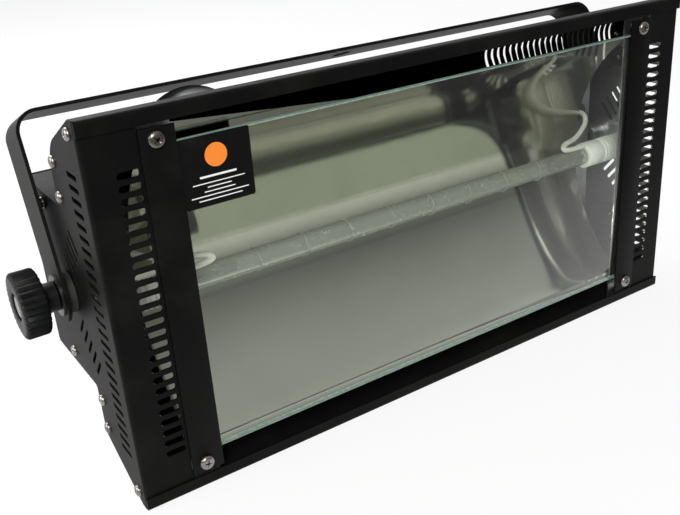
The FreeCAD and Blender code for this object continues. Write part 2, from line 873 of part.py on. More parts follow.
def routed_tube(points, radius):
    """A tube along straight runs joined by arcs as large as the runs allow."""
    path = [Vector(*point) for point in points]
    edges = []
    place = path[0]
    for before, corner, after in zip(path, path[1:], path[2:]):
        runs = min((corner - before).Length, (after - corner).Length)
        turn = (corner - before).getAngle(after - corner)
        arc_radius = run_share * runs / math.tan(turn / 2)
        start, middle, end, centre = bend(before, corner, after, arc_radius)
        edges.append(Part.LineSegment(place, start).toShape())
        edges.append(Part.Arc(start, middle, end).toShape())
        place = end
        print("bend radius", round(arc_radius, 1))
    edges.append(Part.LineSegment(place, path[-1]).toShape())
    spine = Part.Wire(edges)
    ring = Part.Wire(Part.makeCircle(radius, path[0], unit(path[1] - path[0])))
    shell = Part.BRepOffsetAPI.MakePipeShell(spine)
    shell.add(ring)
    shell.build()
    shell.makeSolid()
    solid = shell.shape()
    expected = math.pi * radius ** 2 * spine.Length
    print("tube volume over section times length", round(solid.Volume / expected, 3))
    return solid


def partition_plate():
    """The plate between the reflector and the electronics, with vents and the lead holes."""
    reach = inner_half_width - partition_end_gap
    plate = box((-reach, reach), (partition_depth, partition_depth + sheet),
                (sheet - box_half, box_half - sheet))
    cutters = []
    for index in range(vent_count):
        centre = vent_pitch * (index - (vent_count - 1) / 2)
        cutters.append(box((centre - vent_width / 2, centre + vent_width / 2),
                           (partition_depth - cut_overrun, partition_depth + cut_overrun),
                           (-vent_height / 2, vent_height / 2)))
    for side in SIDES:
        start = Vector(side * lead_exit_x, partition_depth - cut_overrun, lead_exit_height)
        cutters.append(rod(start, grommet_radius, 2 * cut_overrun, ALONG_Y))
    return plate.cut(Part.makeCompound(cutters))


def lead_grommet():
    """The right rubber grommet of the partition, with a lip each side."""
    start = Vector(lead_exit_x, partition_depth - grommet_lip, lead_exit_height)
    length = sheet + 2 * grommet_lip
    lips = rod(start, grommet_radius + grommet_lip, length, ALONG_Y)
    groove = tube(start + ALONG_Y * grommet_lip, grommet_radius + cut_overrun, grommet_radius,
                  sheet, ALONG_Y)
    bore = rod(start - ALONG_Y * cut_overrun, lead_radius, length + 2 * cut_overrun, ALONG_Y)
    return lips.cut(groove).cut(bore)


def terminal_block():
    """The right terminal block, where the lamp lead ends."""
    half = terminal_size / 2
    start = partition_depth + sheet + grommet_lip
    return box((lead_exit_x - half, lead_exit_x + half), (start, start + terminal_size),
               (lead_exit_height - half, lead_exit_height + half))


def blower_scroll():
    """The blower's casing: a drum open at the front for air, with a duct down into the rear box."""
    start = Vector(blower_x, blower_front, blower_height)
    duct_x = (blower_x - scroll_radius, blower_x - scroll_radius + scroll_outlet_width)
    duct_z = (blower_height - scroll_radius - scroll_outlet_drop, blower_height)
    rear = blower_front + blower_length
    outer = fused([rod(start, scroll_radius, blower_length, ALONG_Y),
                   box(duct_x, (blower_front, rear), duct_z)])
    inner_start = start + ALONG_Y * scroll_wall
    inner_length = blower_length - 2 * scroll_wall
    inner = fused([rod(inner_start, scroll_radius - scroll_wall, inner_length, ALONG_Y),
                   box((duct_x[0] + scroll_wall, duct_x[1] - scroll_wall),
                       (blower_front + scroll_wall, rear - scroll_wall),
                       (duct_z[0] - cut_overrun, duct_z[1]))])
    casing = outer.cut(inner)
    casing = casing.cut(rod(start - ALONG_Y * cut_overrun, intake_radius, 2 * cut_overrun, ALONG_Y))
    shaft_hole = rod(start + ALONG_Y * (blower_length - cut_overrun),
                     motor_shaft_radius + 2 * hole_clearance, 2 * cut_overrun, ALONG_Y)
    feet = []
    for side in SIDES:
        edge = blower_x + side * foot_start
        feet.append(box((edge, edge + side * scroll_foot), (blower_front, rear),
                        (box_half, box_half + scroll_wall)))
    hollow = rod(inner_start, scroll_radius - scroll_wall, inner_length, ALONG_Y)
    return fused([casing] + [foot.cut(hollow) for foot in feet]).cut(shaft_hole)


def blower_motor():
    """The motor behind the drum, with its shaft through the impeller's hub."""
    rear = blower_front + blower_length
    body = rod(Vector(blower_x, rear, blower_height), motor_radius, motor_length, ALONG_Y)
    shaft_start = blower_front + scroll_wall + impeller_gap
    shaft = rod(Vector(blower_x, shaft_start, blower_height), motor_shaft_radius,
                rear - shaft_start, ALONG_Y)
    return fused([body, shaft])


def blower_impeller():
    """A drum of thin blades on a disc, turning on the motor's shaft."""
    front = blower_front + scroll_wall + impeller_gap
    rear = blower_front + blower_length - scroll_wall - impeller_gap
    start = Vector(blower_x, front, blower_height)
    disc = rod(Vector(blower_x, rear - scroll_wall, blower_height), impeller_radius, scroll_wall, ALONG_Y)
    hub = rod(start, impeller_hub_radius, rear - front, ALONG_Y)
    ring = tube(start, impeller_radius, impeller_radius - blade_height, scroll_wall, ALONG_Y)
    pieces = [disc, hub, ring]
    for index in range(blade_count):
        inner = impeller_radius - blade_height + blade_thickness
        blade = box((inner, impeller_radius - blade_thickness), (front, rear),
                    (-blade_thickness / 2, blade_thickness / 2))
        blade.rotate(Vector(0, 0, 0), ALONG_Y, 360 * index / blade_count)
        blade.translate(Vector(blower_x, 0, blower_height))
        pieces.append(blade)
    bore = rod(start, motor_shaft_radius + running_clearance, rear - front, ALONG_Y)
    return fused(pieces).cut(bore)


def blower_opening():
    """The cutter that lets the blower through the rear box's top."""
    wide = scroll_radius + blower_opening_gap
    narrow = motor_radius + blower_opening_gap
    rear = blower_front + blower_length + blower_opening_gap
    z_range = (box_half - cut_overrun, box_half + cut_overrun)
    drum = box((blower_x - wide, blower_x + wide), (blower_front - blower_opening_gap, rear), z_range)
    motor = box((blower_x - narrow, blower_x + narrow), (blower_front, rear + motor_length), z_range)
    return fused([drum, motor])


def power_inlet():
    """The mains inlet: a flange outside the panel, a shrouded recess with three pins."""
    outside = case_depth + inlet_flange_thickness
    flange = box((inlet_x - inlet_flange_width / 2, inlet_x + inlet_flange_width / 2), (case_depth, outside),
                 (-inlet_height / 2, inlet_height / 2))
    half = inlet_width / 2 - inlet_wall
    rise = inlet_height / 2 - inlet_wall
    body = box((inlet_x - half, inlet_x + half), (case_depth - inlet_body_depth, case_depth), (-rise, rise))
    recess = box((inlet_x - half + inlet_wall, inlet_x + half - inlet_wall),
                 (outside - inlet_recess_depth, outside + cut_overrun),
                 (-rise + inlet_wall, rise - inlet_wall))
    shell = fused([flange, body]).cut(recess)
    for side in SIDES:
        start = Vector(inlet_x + side * inlet_screw_offset, case_depth - cut_overrun, 0)
        shell = shell.cut(rod(start, panel_screw_radius, inlet_flange_thickness + 2 * cut_overrun, ALONG_Y))
    pins = []
    for share_x, share_z in ((-1, -1), (1, -1), (0, 1)):
        x = inlet_x + share_x * inlet_pin_spread
        z = share_z * inlet_pin_drop
        start = outside - inlet_recess_depth
        pins.append(box((x - inlet_pin_width / 2, x + inlet_pin_width / 2),
                        (start, start + inlet_pin_length),
                        (z - inlet_pin_height / 2, z + inlet_pin_height / 2)))
    return fused([shell] + pins)


def fuse_holder():
    """The fuse holder: a body inside the panel and a slotted cap outside."""
    start = Vector(fuse_x, case_depth - fuse_body_depth, 0)
    body = rod(start, fuse_radius, fuse_body_depth, ALONG_Y)
    cap = rod(Vector(fuse_x, case_depth, 0), fuse_cap_radius, fuse_cap_length, ALONG_Y)
    end = case_depth + fuse_cap_length
    slot = box((fuse_x - fuse_cap_radius * fuse_slot_share, fuse_x + fuse_cap_radius * fuse_slot_share),
               (end - fuse_slot_depth, end + cut_overrun), (-fuse_slot_width / 2, fuse_slot_width / 2))
    return fused([body, cap]).cut(slot)


def switch_frame():
    """The frame of the rocker switch, open at the outside."""
    bezel_x = switch_width / 2
    bezel_z = switch_height / 2
    bezel = box((switch_x - bezel_x, switch_x + bezel_x), (case_depth, case_depth + switch_bezel_height),
                (-bezel_z, bezel_z))
    body = box((switch_x - bezel_x + switch_bezel, switch_x + bezel_x - switch_bezel),
               (case_depth - switch_body_depth, case_depth),
               (-bezel_z + switch_bezel, bezel_z - switch_bezel))
    hollow_x = bezel_x - switch_bezel - switch_wall
    hollow_z = bezel_z - switch_bezel - switch_wall
    hollow_y = (case_depth - switch_body_depth + switch_wall, case_depth + switch_bezel_height + cut_overrun)
    hollow = box((switch_x - hollow_x, switch_x + hollow_x), hollow_y, (-hollow_z, hollow_z))
    pin_hole = rod(Vector(switch_x - bezel_x + switch_bezel, case_depth, 0),
                   rocker_pin_radius + running_clearance, 2 * (bezel_x - switch_bezel), ALONG_X)
    return fused([bezel, body]).cut(hollow).cut(pin_hole)


def switch_rocker():
    """The rocker on its cross pin, pressed in at its upper end."""
    half_x = switch_width / 2 - switch_bezel - switch_wall - rocker_gap
    half_z = switch_height / 2 - switch_bezel - switch_wall - rocker_gap - rocker_swing
    front = case_depth + switch_bezel_height + rocker_rise
    rear = case_depth - rocker_depth
    profile = [(rear, -half_z * rocker_foot_share), (front, -half_z), (front - rocker_dish, 0),
               (front, half_z), (rear, half_z * rocker_foot_share)]
    corners = [Vector(0, y, z) for y, z in profile]
    face = Part.Face(Part.makePolygon(corners + corners[:1]))
    body = face.extrude(ALONG_X * (2 * half_x))
    body.translate(ALONG_X * (switch_x - half_x))
    pin_half = switch_width / 2 - switch_bezel
    pin = rod(Vector(switch_x - pin_half, case_depth, 0), rocker_pin_radius, 2 * pin_half, ALONG_X)
    rocker = fused([body, pin])
    rocker.rotate(Vector(0, case_depth, 0), ALONG_X, rocker_turn)
    return rocker


def control_sockets():
    """Two round sockets for the control leads, each with its nut outside the panel."""
    sockets = []
    for x in jack_places:
        half = jack_body_size / 2
        inside = case_depth - sheet
        body = box((x - half, x + half), (inside - jack_body_depth, inside), (-half, half))
        barrel = rod(Vector(x, case_depth - sheet, 0), jack_barrel_radius, sheet + jack_nut_height, ALONG_Y)
        nut = rod(Vector(x, case_depth, 0), jack_nut_radius, jack_nut_height, ALONG_Y)
        end = case_depth + jack_nut_height
        bore = rod(Vector(x, end - jack_bore_depth, 0), jack_bore_radius,
                   jack_bore_depth + cut_overrun, ALONG_Y)
        sockets.append(fused([body, barrel, nut]).cut(bore))
    return Part.makeCompound(sockets)


def dial_knob(x):
    """A small fluted knob with a pointer line, on its shaft."""
    start = case_depth + dial_standoff
    end = start + dial_length
    knob_body = rod(Vector(x, start, 0), dial_radius, dial_length, ALONG_Y)
    cutters = []
    for index in range(dial_flutes):
        angle = 2 * math.pi * index / dial_flutes
        place = Vector(x + dial_radius * math.cos(angle), start - cut_overrun, dial_radius * math.sin(angle))
        cutters.append(rod(place, dial_flute_radius, dial_length + 2 * cut_overrun, ALONG_Y))
    cutters.append(box((x - dial_pointer_width / 2, x + dial_pointer_width / 2),
                       (end - dial_pointer_depth, end + cut_overrun), (0, dial_radius + cut_overrun)))
    cutters.append(rod(Vector(x, start - cut_overrun, 0), shaft_radius,
                       dial_length - shaft_cover + cut_overrun, ALONG_Y))
    return knob_body.cut(Part.makeCompound(cutters))


def dial_shaft(x):
    """The shaft between a control's body and its knob."""
    start = case_depth - sheet - pot_depth * pot_shaft_share
    end = case_depth + dial_standoff + dial_length - shaft_cover
    return rod(Vector(x, start, 0), shaft_radius, end - start, ALONG_Y)


def pot_bodies():
    """The two rotary controls behind the panel, with their bushings through it."""
    pots = []
    bore = shaft_radius + running_clearance
    for x in (rate_x, intensity_x):
        inside = case_depth - sheet
        body = rod(Vector(x, inside - pot_depth, 0), pot_radius, pot_depth, ALONG_Y)
        bushing = rod(Vector(x, inside, 0), bushing_radius, sheet + bushing_length, ALONG_Y)
        start = inside - pot_depth * pot_shaft_share
        hole = rod(Vector(x, start, 0), bore, inside + sheet + bushing_length - start, ALONG_Y)
        pots.append(fused([body, bushing]).cut(hole))
    return Part.makeCompound(pots)


def panel_screw_places():
    """Places of the rear panel's screws, on the flanges of the rear box."""
    reach = inner_half_width - panel_screw_inset
    spread = 2 * reach / (panel_screw_count - 1)
    height = box_half - sheet - panel_screw_inset
    places = []
    for index in range(panel_screw_count):
        for side in SIDES:
            places.append((spread * index - reach, side * height))
    return places


def rear_panel():
    """The rear panel with the cut-outs for everything that it carries."""
    panel = box((-inner_half_width, inner_half_width), (case_depth - sheet, case_depth),
                (-box_half, box_half))
    start = case_depth - sheet - cut_overrun
    length = sheet + 2 * cut_overrun
    y_range = (start, start + length)
    half_inlet = inlet_width / 2 - inlet_wall
    rise_inlet = inlet_height / 2 - inlet_wall
    half_switch = switch_width / 2 - switch_bezel
    rise_switch = switch_height / 2 - switch_bezel
    cutters = [box((inlet_x - half_inlet, inlet_x + half_inlet), y_range, (-rise_inlet, rise_inlet)),
               box((switch_x - half_switch, switch_x + half_switch), y_range, (-rise_switch, rise_switch)),
               rod(Vector(fuse_x, start, 0), fuse_radius, length, ALONG_Y)]
    cutters += [rod(Vector(x, start, 0), jack_barrel_radius, length, ALONG_Y) for x in jack_places]
    cutters += [rod(Vector(x, start, 0), bushing_radius, length, ALONG_Y) for x in (rate_x, intensity_x)]
    screw_places = panel_screw_places() + [(inlet_x + side * inlet_screw_offset, 0) for side in SIDES]
    cutters += [rod(Vector(x, start, z), panel_screw_radius, length, ALONG_Y) for x, z in screw_places]
    return panel.cut(Part.makeCompound(cutters))


def panel_screws():
    """The screws of the rear panel and of the mains inlet."""
    screws = []
    for x, z in panel_screw_places():
        screws.append(cross_screw(Vector(x, case_depth, z), ALONG_Y, panel_head_radius, panel_head_height,
                                  panel_screw_radius, panel_screw_grip))
    for side in SIDES:
        seat = Vector(inlet_x + side * inlet_screw_offset, case_depth + inlet_flange_thickness, 0)
        screws.append(cross_screw(seat, ALONG_Y, panel_head_radius, panel_head_height, panel_screw_radius,
                                  inlet_flange_thickness + panel_screw_grip))
    return Part.makeCompound(screws)


def capacitors():
    """The flash capacitors, standing on the floor of the rear box."""
    cans = []
    for index in range(capacitor_count):
        x = capacitor_start + capacitor_pitch * index
        can = rod(Vector(x, capacitor_depth, floor), capacitor_radius, capacitor_height, ALONG_Z)
        top = floor + capacitor_height
        groove = tube(Vector(x, capacitor_depth, top - 3 * capacitor_bead), capacitor_radius + cut_overrun,
                      capacitor_radius - capacitor_bead / 2, capacitor_bead, ALONG_Z)
        cans.append(can.cut(groove))
    return Part.makeCompound(cans)


def capacitor_clamp():
    """A bridge with a hole for each capacitor, on feet on the floor."""
    first = capacitor_start - capacitor_radius - clamp_margin
    last = capacitor_start + capacitor_pitch * (capacitor_count - 1) + capacitor_radius + clamp_margin
    y_range = (capacitor_depth - capacitor_radius - clamp_thickness,
               capacitor_depth + capacitor_radius + clamp_thickness)
    plate = box((first, last), y_range, (floor + clamp_height - clamp_thickness, floor + clamp_height))
    legs = [box((first, first + clamp_thickness), y_range, (floor, floor + clamp_height)),
            box((last - clamp_thickness, last), y_range, (floor, floor + clamp_height))]
    holes = [rod(Vector(capacitor_start + capacitor_pitch * index, capacitor_depth, floor), capacitor_radius,
                 clamp_height + cut_overrun, ALONG_Z) for index in range(capacitor_count)]
    return fused([plate] + legs).cut(Part.makeCompound(holes))


def power_board():
    """The power board with its heat sink and relay."""
    low = floor + standoff_length
    top = low + board_thickness
    plate = box((power_board_start, power_board_end), (power_board_front, power_board_rear), (low, top))
    sink_start = power_board_start + 2 * board_standoff_inset
    sink_x = (sink_start, sink_start + heat_sink_width)
    sink_y = (power_board_rear - heat_sink_depth, power_board_rear)
    pieces = [plate, box(sink_x, sink_y, (top, top + heat_sink_base))]
    step = (heat_sink_width - heat_sink_fin) / (heat_sink_fins - 1)
    for index in range(heat_sink_fins):
        left = sink_x[0] + step * index
        pieces.append(box((left, left + heat_sink_fin), sink_y, (top, top + heat_sink_height)))
    relay_x = power_board_end - 2 * board_standoff_inset
    pieces.append(box((relay_x - relay_width, relay_x), (power_board_front, power_board_front + relay_depth),
                      (top, top + relay_height)))
    return fused(pieces)


def board_standoffs():
    """The posts under the power board."""
    posts = []
    for x in (power_board_start + board_standoff_inset, power_board_end - board_standoff_inset):
        for y in (power_board_front + board_standoff_inset, power_board_rear - board_standoff_inset):
            posts.append(rod(Vector(x, y, floor), board_standoff_radius, standoff_length, ALONG_Z))
    return Part.makeCompound(posts)


def control_board():
    """The control board, carried by the backs of the two rotary controls."""
    middle = (rate_x + intensity_x) / 2
    rear = case_depth - sheet - pot_depth
    return box((middle - control_board_width / 2, middle + control_board_width / 2),
               (rear - board_thickness, rear), (-control_board_height / 2, control_board_height / 2))


def choke_core():
    """The laminated core of the charging choke, with a window each side of its middle limb."""
    x_range = (choke_x - choke_width / 2, choke_x + choke_width / 2)
    y_range = (choke_depth - choke_length / 2, choke_depth + choke_length / 2)
    core = box(x_range, y_range, (floor, floor + choke_height))
    windows = []
    for side in SIDES:
        inner = choke_x + side * choke_limb / 2
        outer = choke_x + side * (choke_width / 2 - choke_limb / 2)
        windows.append(box((inner, outer), (y_range[0] - cut_overrun, y_range[1] + cut_overrun),
                           (floor + choke_limb, floor + choke_height - choke_limb)))
    return core.cut(Part.makeCompound(windows))


def choke_winding():
    """The choke's winding round the middle limb."""
    outer_x = choke_width / 2 - choke_limb / 2 - choke_winding_gap
    outer_y = choke_length / 2 + choke_limb - choke_winding_gap
    z_range = (floor + choke_limb, floor + choke_height - choke_limb)
    block = box((choke_x - outer_x, choke_x + outer_x), (choke_depth - outer_y, choke_depth + outer_y),
                z_range)
    limb = box((choke_x - choke_limb / 2, choke_x + choke_limb / 2),
               (choke_depth - choke_length / 2, choke_depth + choke_length / 2), z_range)
    return block.cut(limb)


def trigger_transformer():
    """The potted trigger transformer on the back of the partition, with two pins."""
    front = partition_depth + sheet
    x_range = (transformer_x - transformer_width / 2, transformer_x + transformer_width / 2)
    block = box(x_range, (front, front + transformer_depth),
                (-transformer_drop - transformer_height / 2, -transformer_drop + transformer_height / 2))
    pins = []
    for side in SIDES:
        start = Vector(transformer_x + side * transformer_width / 4, front + transformer_depth,
                       -transformer_drop)
        pins.append(rod(start, transformer_pin_radius, transformer_pin_length, ALONG_Y))
    return fused([block] + pins)


def pair(right):
    """A piece and its mirror image on the left, as one node of two solids."""
    return Part.makeCompound([right, mirrored_x(right)])


right_side = side_plate()
right_screws = side_screws()
right_knob = knob()
right_stud = knob_stud()
right_strip = glass_strip()
solids = {
    "yoke_bracket": yoke_bracket(),
    "clamp_washers": pivot_ring(half_width + yoke_gap + yoke_thickness, washer_thickness, washer_radius),
    "friction_washers": pivot_ring(half_width, yoke_gap - face_gap, washer_radius),
    "pivot_bosses": pivot_ring(inner_half_width - boss_length, boss_length, boss_radius),
    "knob_right": right_knob,
    "knob_left": mirrored_x(right_knob),
    "knob_stud_right": right_stud,
    "knob_stud_left": mirrored_x(right_stud),
    "side_plate_right": right_side,
    "side_plate_left": mirrored_x(right_side),
    "side_screws_right": right_screws,
    "side_screws_left": mirrored_x(right_screws),
    "wall_top": wall_top(),
    "wall_bottom": mirrored_z(chamber_wall(bottom_bend_radius)),
    "rear_box_top": rear_wall().cut(blower_opening()),
    "rear_box_bottom": mirrored_z(rear_wall()),
    "rear_panel": rear_panel(),
    "panel_screws": panel_screws(),
    "partition_plate": partition_plate(),
    "glass_pane": glass_pane(),
    "glass_gaskets": pair(glass_gasket()),
    "glass_strip_right": right_strip,
    "glass_strip_left": mirrored_x(right_strip),
    "glass_rails": pair(glass_rail()),
    "strip_sleeves": strip_sleeves(),
    "strip_screws": strip_screws(),
    "label_plate": label_plate(),
    "reflector": reflector(),
    "reflector_standoffs": reflector_standoffs(),
    "lamp_tube": lamp_tube(),
    "lamp_electrodes": lamp_electrodes(),
    "trigger_wire": trigger_wire(),
    "lamp_caps": pair(lamp_cap()),
    "lamp_holders": pair(lamp_holder()),
    "lamp_leads": pair(routed_tube(lead_route, lead_radius)),
    "lead_grommets": pair(lead_grommet()),
    "terminal_blocks": pair(terminal_block()),
    "blower_scroll": blower_scroll(),
    "blower_motor": blower_motor(),
    "blower_impeller": blower_impeller(),
    "power_inlet": power_inlet(),
    "fuse_holder": fuse_holder(),
    "switch_frame": switch_frame(),
    "switch_rocker": switch_rocker(),
    "control_sockets": control_sockets(),
    "rate_knob": dial_knob(rate_x),
    "rate_shaft": dial_shaft(rate_x),
    "intensity_knob": dial_knob(intensity_x),
    "intensity_shaft": dial_shaft(intensity_x),
    "pot_bodies": pot_bodies(),
    "control_board": control_board(),
    "power_board": power_board(),
    "board_standoffs": board_standoffs(),
    "capacitors": capacitors(),
    "capacitor_clamp": capacitor_clamp(),
    "choke_core": choke_core(),
    "choke_winding": choke_winding(),
    "trigger_transformer": trigger_transformer(),
}

hole_direction = Vector(0, math.sin(math.radians(yoke_lean)), math.cos(math.radians(yoke_lean)))
hanging_hole = pivot + hole_direction * yoke_reach
for name, solid in solids.items():
    solid.translate(hanging_hole * -1)
    solid.exportStep("parts/" + name + ".step")
    print(name, len(solid.Solids), round(solid.Volume), solid.isValid())
print("hanging hole from the middle of the front face", hanging_hole)
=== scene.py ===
# %% [markdown]
# A strobe light, dressed for the camera
#
# The object is a stage strobe: a folded black steel case with a glass front, a trough reflector
# with a straight flash tube in it, and a yoke with two clamp knobs. The solid model is loaded
# first and never moved. Each cell after that either gives a piece its finish or models a finer
# version of a piece, the way it could be made by hand with Blender's own tools.

# %% The fixed frame
import math

import bpy
import bmesh
from mathutils import Matrix, Vector


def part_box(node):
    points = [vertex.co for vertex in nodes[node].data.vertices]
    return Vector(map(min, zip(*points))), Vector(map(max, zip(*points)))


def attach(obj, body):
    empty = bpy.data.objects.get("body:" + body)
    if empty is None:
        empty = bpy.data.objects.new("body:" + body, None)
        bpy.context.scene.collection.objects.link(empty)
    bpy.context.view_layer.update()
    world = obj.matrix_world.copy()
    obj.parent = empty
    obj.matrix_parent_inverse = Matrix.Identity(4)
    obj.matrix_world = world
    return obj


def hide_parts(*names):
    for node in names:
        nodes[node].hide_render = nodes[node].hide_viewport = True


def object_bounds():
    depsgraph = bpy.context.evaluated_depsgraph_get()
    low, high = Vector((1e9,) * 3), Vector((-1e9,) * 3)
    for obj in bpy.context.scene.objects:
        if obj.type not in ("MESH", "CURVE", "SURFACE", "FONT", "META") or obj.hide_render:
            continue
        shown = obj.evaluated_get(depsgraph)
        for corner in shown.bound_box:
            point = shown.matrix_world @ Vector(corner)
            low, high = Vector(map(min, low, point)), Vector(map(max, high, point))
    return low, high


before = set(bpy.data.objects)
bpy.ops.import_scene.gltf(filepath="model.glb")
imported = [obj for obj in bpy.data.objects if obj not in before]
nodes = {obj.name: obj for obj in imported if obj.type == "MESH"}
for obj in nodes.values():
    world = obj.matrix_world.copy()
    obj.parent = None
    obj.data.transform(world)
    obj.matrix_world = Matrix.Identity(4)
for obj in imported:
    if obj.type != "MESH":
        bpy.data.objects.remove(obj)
cad_box = [list(corner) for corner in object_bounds()]
MM = 0.001

# %% [markdown]
# Writing materials as sums
#
# A finish is a small network of nodes. Wiring it by hand takes a line for every link, so the
# class below wraps one socket. Adding or multiplying wires adds the Math node that does it, and
# so does taking the larger of two. A material then reads like the formula that it is.

# %% Wires and finishes
class Wire:
    """One output socket of a finish, with arithmetic."""

    def __init__(self, finish, socket):
        self.finish = finish
        self.socket = socket

    def _sum(self, operation, *values):
        return self.finish.node("ShaderNodeMath", {"operation": operation}, dict(enumerate(values)))

    def __add__(self, other):
        return self._sum("ADD", self, other)

    def __mul__(self, other):
        return self._sum("MULTIPLY", self, other)

    def most(self, other):
        """The larger of two numbers."""
        return self._sum("MAXIMUM", self, other)

    __radd__ = __add__
    __rmul__ = __mul__


class Finish:
    """A material built from nodes, read in the object's own metres."""

    def __init__(self, name):
        self.material = bpy.data.materials.new(name)
        self.material.use_nodes = True
        self.tree = self.material.node_tree
        self.tree.nodes.clear()
        self.out = self.tree.nodes.new("ShaderNodeOutputMaterial")
        self.place = self.node("ShaderNodeTexCoord", {}, {}, "Object")

    def node(self, kind, settings, inputs, output=0):
        """Adds a node: its settings first, then the values or wires of its sockets."""
        made = self.tree.nodes.new(kind)
        for key, value in settings.items():
            setattr(made, key, value)
        for key, value in inputs.items():
            socket = made.inputs[key]
            if isinstance(value, Wire):
                self.tree.links.new(value.socket, socket)
            elif isinstance(value, tuple) and len(value) == 3 and socket.type == "RGBA":
                socket.default_value = (*value, 1)
            else:
                socket.default_value = value
        return Wire(self, made.outputs[output])

    def noise(self, scale, detail=2.0, rough=0.5, stretch=(1, 1, 1)):
        """Soft random patches, with so many to the metre along each axis."""
        mapped = self.node("ShaderNodeMapping", {}, {"Vector": self.place, "Scale": stretch})
        return self.node("ShaderNodeTexNoise", {}, {"Vector": mapped, "Scale": scale,
                                                    "Detail": detail, "Roughness": rough}, "Fac")

    def level(self, value, low, high):
        """Stretches the part of a pattern between two levels over the range from zero to one."""
        return self.node("ShaderNodeMapRange", {"interpolation_type": "SMOOTHSTEP"},
                         {"Value": value, "From Min": low, "From Max": high})

    def blend(self, share, first, second):
        """A colour between two colours."""
        return self.node("ShaderNodeMix", {"data_type": "RGBA"}, {0: share, 6: first, 7: second}, 2)

    def bump(self, height, depth, strength):
        """Small relief, with its depth in metres."""
        inputs = {"Height": height, "Distance": depth, "Strength": strength}
        return self.node("ShaderNodeBump", {}, inputs)

    def rays(self, *kinds):
        """One or more where a ray is of one of these kinds, and otherwise zero."""
        found = [self.node("ShaderNodeLightPath", {}, {}, kind) for kind in kinds]
        share = found[0]
        for other in found[1:]:
            share = share.most(other)
        return share

    def surface(self, open_to=(), tint=(1.0, 1.0, 1.0), **sockets):
        """The shader, which some kinds of ray may pass. Underscores stand for spaces."""
        inputs = {key.replace("_", " "): value for key, value in sockets.items()}
        shader = self.node("ShaderNodeBsdfPrincipled", {}, inputs, "BSDF")
        if open_to:
            straight = self.node("ShaderNodeBsdfTransparent", {}, {"Color": tint}, "BSDF")
            shader = self.node("ShaderNodeMixShader", {},
                               {0: self.rays(*open_to), 1: shader, 2: straight}, "Shader")
        self.tree.links.new(shader.socket, self.out.inputs["Surface"])
        return self.material


# %% [markdown]
# Powder paint
#
# The case, the yoke and the strips are steel with black powder paint. Powder melts into a skin like
# fine orange peel, so it shines softly and turns grey where light grazes it. Flat black would lose
# all its folds. Here the skin is a fine bump, dust and rubbed patches change the gloss, and the
# colour itself hardly moves. The pale warm patches and specks in the colour are partly dust and
# partly a painted sheen, the warm grey that grazing light gives, laid on at random.

# %% Black powder paint
def powder_paint(name, gloss, dust_and_sheen_amount, shine):
    """Black powder paint with a chosen roughness, amount of dust and painted sheen, and shine."""
    paint = Finish(name)
    skin = paint.noise(1400, detail=3.0)
    patches = paint.noise(26, detail=5.0, rough=0.6)
    specks = paint.level(paint.noise(2600, detail=1.0), 0.70, 0.76)
    scuffs = paint.level(paint.noise(90, detail=3.0, stretch=(1, 1, 9)), 0.66, 0.72)
    # Pale warm patches and specks: partly dust, partly a painted warm grey sheen of grazing light.
    dust_and_sheen = paint.level(patches, 0.42, 0.72) * dust_and_sheen_amount + specks * (dust_and_sheen_amount * 0.8)
    colour = paint.blend(dust_and_sheen, (0.0030, 0.0034, 0.0033), (0.060, 0.058, 0.048))
    roughness = patches * 0.16 + gloss + scuffs * -0.08
    return paint.surface(Base_Color=colour, Roughness=roughness, Specular_IOR_Level=shine,
                         Specular_Tint=(0.96, 1.0, 0.86, 1), Normal=paint.bump(skin, 0.00002, 0.35))


# The third number is the amount of dust and painted sheen; the yoke gets more.
case_paint = powder_paint("case_paint", 0.42, 0.07, 0.08)
yoke_paint = powder_paint("yoke_paint", 0.42, 0.12, 0.10)

# %% [markdown]
# Metals
#
# Screws, washers and brackets are plated steel. What makes plating look real is that its gloss
# is uneven: turned marks, fingerprints and a little dark dirt in the low places. Each metal is
# one function with its own colour, so that the small parts stay a family. The trigger wire is so
# fine that the sheet behind it shows no image of it, so mirrored rays go past it.

# %% Plated and bare metals
def metal(name, bright, dirt, gloss, grain=(1, 1, 1), open_to=()):
    """A bare or plated metal with dirt, patches of gloss and a fine grain."""
    alloy = Finish(name)
    patches = alloy.noise(60, detail=5.0, rough=0.6)
    lines = alloy.noise(900, stretch=grain)
    colour = alloy.blend(alloy.level(patches, 0.45, 0.75), bright, dirt)
    roughness = patches * 0.22 + lines * 0.10 + gloss
    return alloy.surface(open_to=open_to, Base_Color=colour, Metallic=1.0, Roughness=roughness,
                         Normal=alloy.bump(lines, 0.000006, 0.4))


zinc_plate = metal("zinc_plate", (0.56, 0.57, 0.58), (0.36, 0.36, 0.35), 0.22)
black_zinc = metal("black_zinc", (0.085, 0.080, 0.072), (0.04, 0.04, 0.036), 0.20)
screw_steel = metal("screw_steel", (0.30, 0.285, 0.26), (0.10, 0.09, 0.08), 0.12)
dark_tungsten = metal("dark_tungsten", (0.20, 0.20, 0.21), (0.10, 0.10, 0.10), 0.30)
nickel = metal("nickel", (0.56, 0.57, 0.52), (0.46, 0.47, 0.43), 0.50, open_to=("Glossy Depth",))
core_steel = metal("core_steel", (0.16, 0.155, 0.15), (0.08, 0.07, 0.06), 0.42, grain=(1, 40, 1))
copper_wire = metal("copper_wire", (0.55, 0.22, 0.10), (0.36, 0.13, 0.05), 0.24, grain=(1, 1, 30))

# %% [markdown]
# The reflector's sheet
#
# The trough is anodised aluminium: brighter than paint but no mirror. It shows the lamp's
# cap, the lead and the slots as soft copies of themselves, with a khaki cast and faint rolling
# marks along its length. A roughness near 0.1 gives that, and the marks, drips and smears only
# change it a little either way.

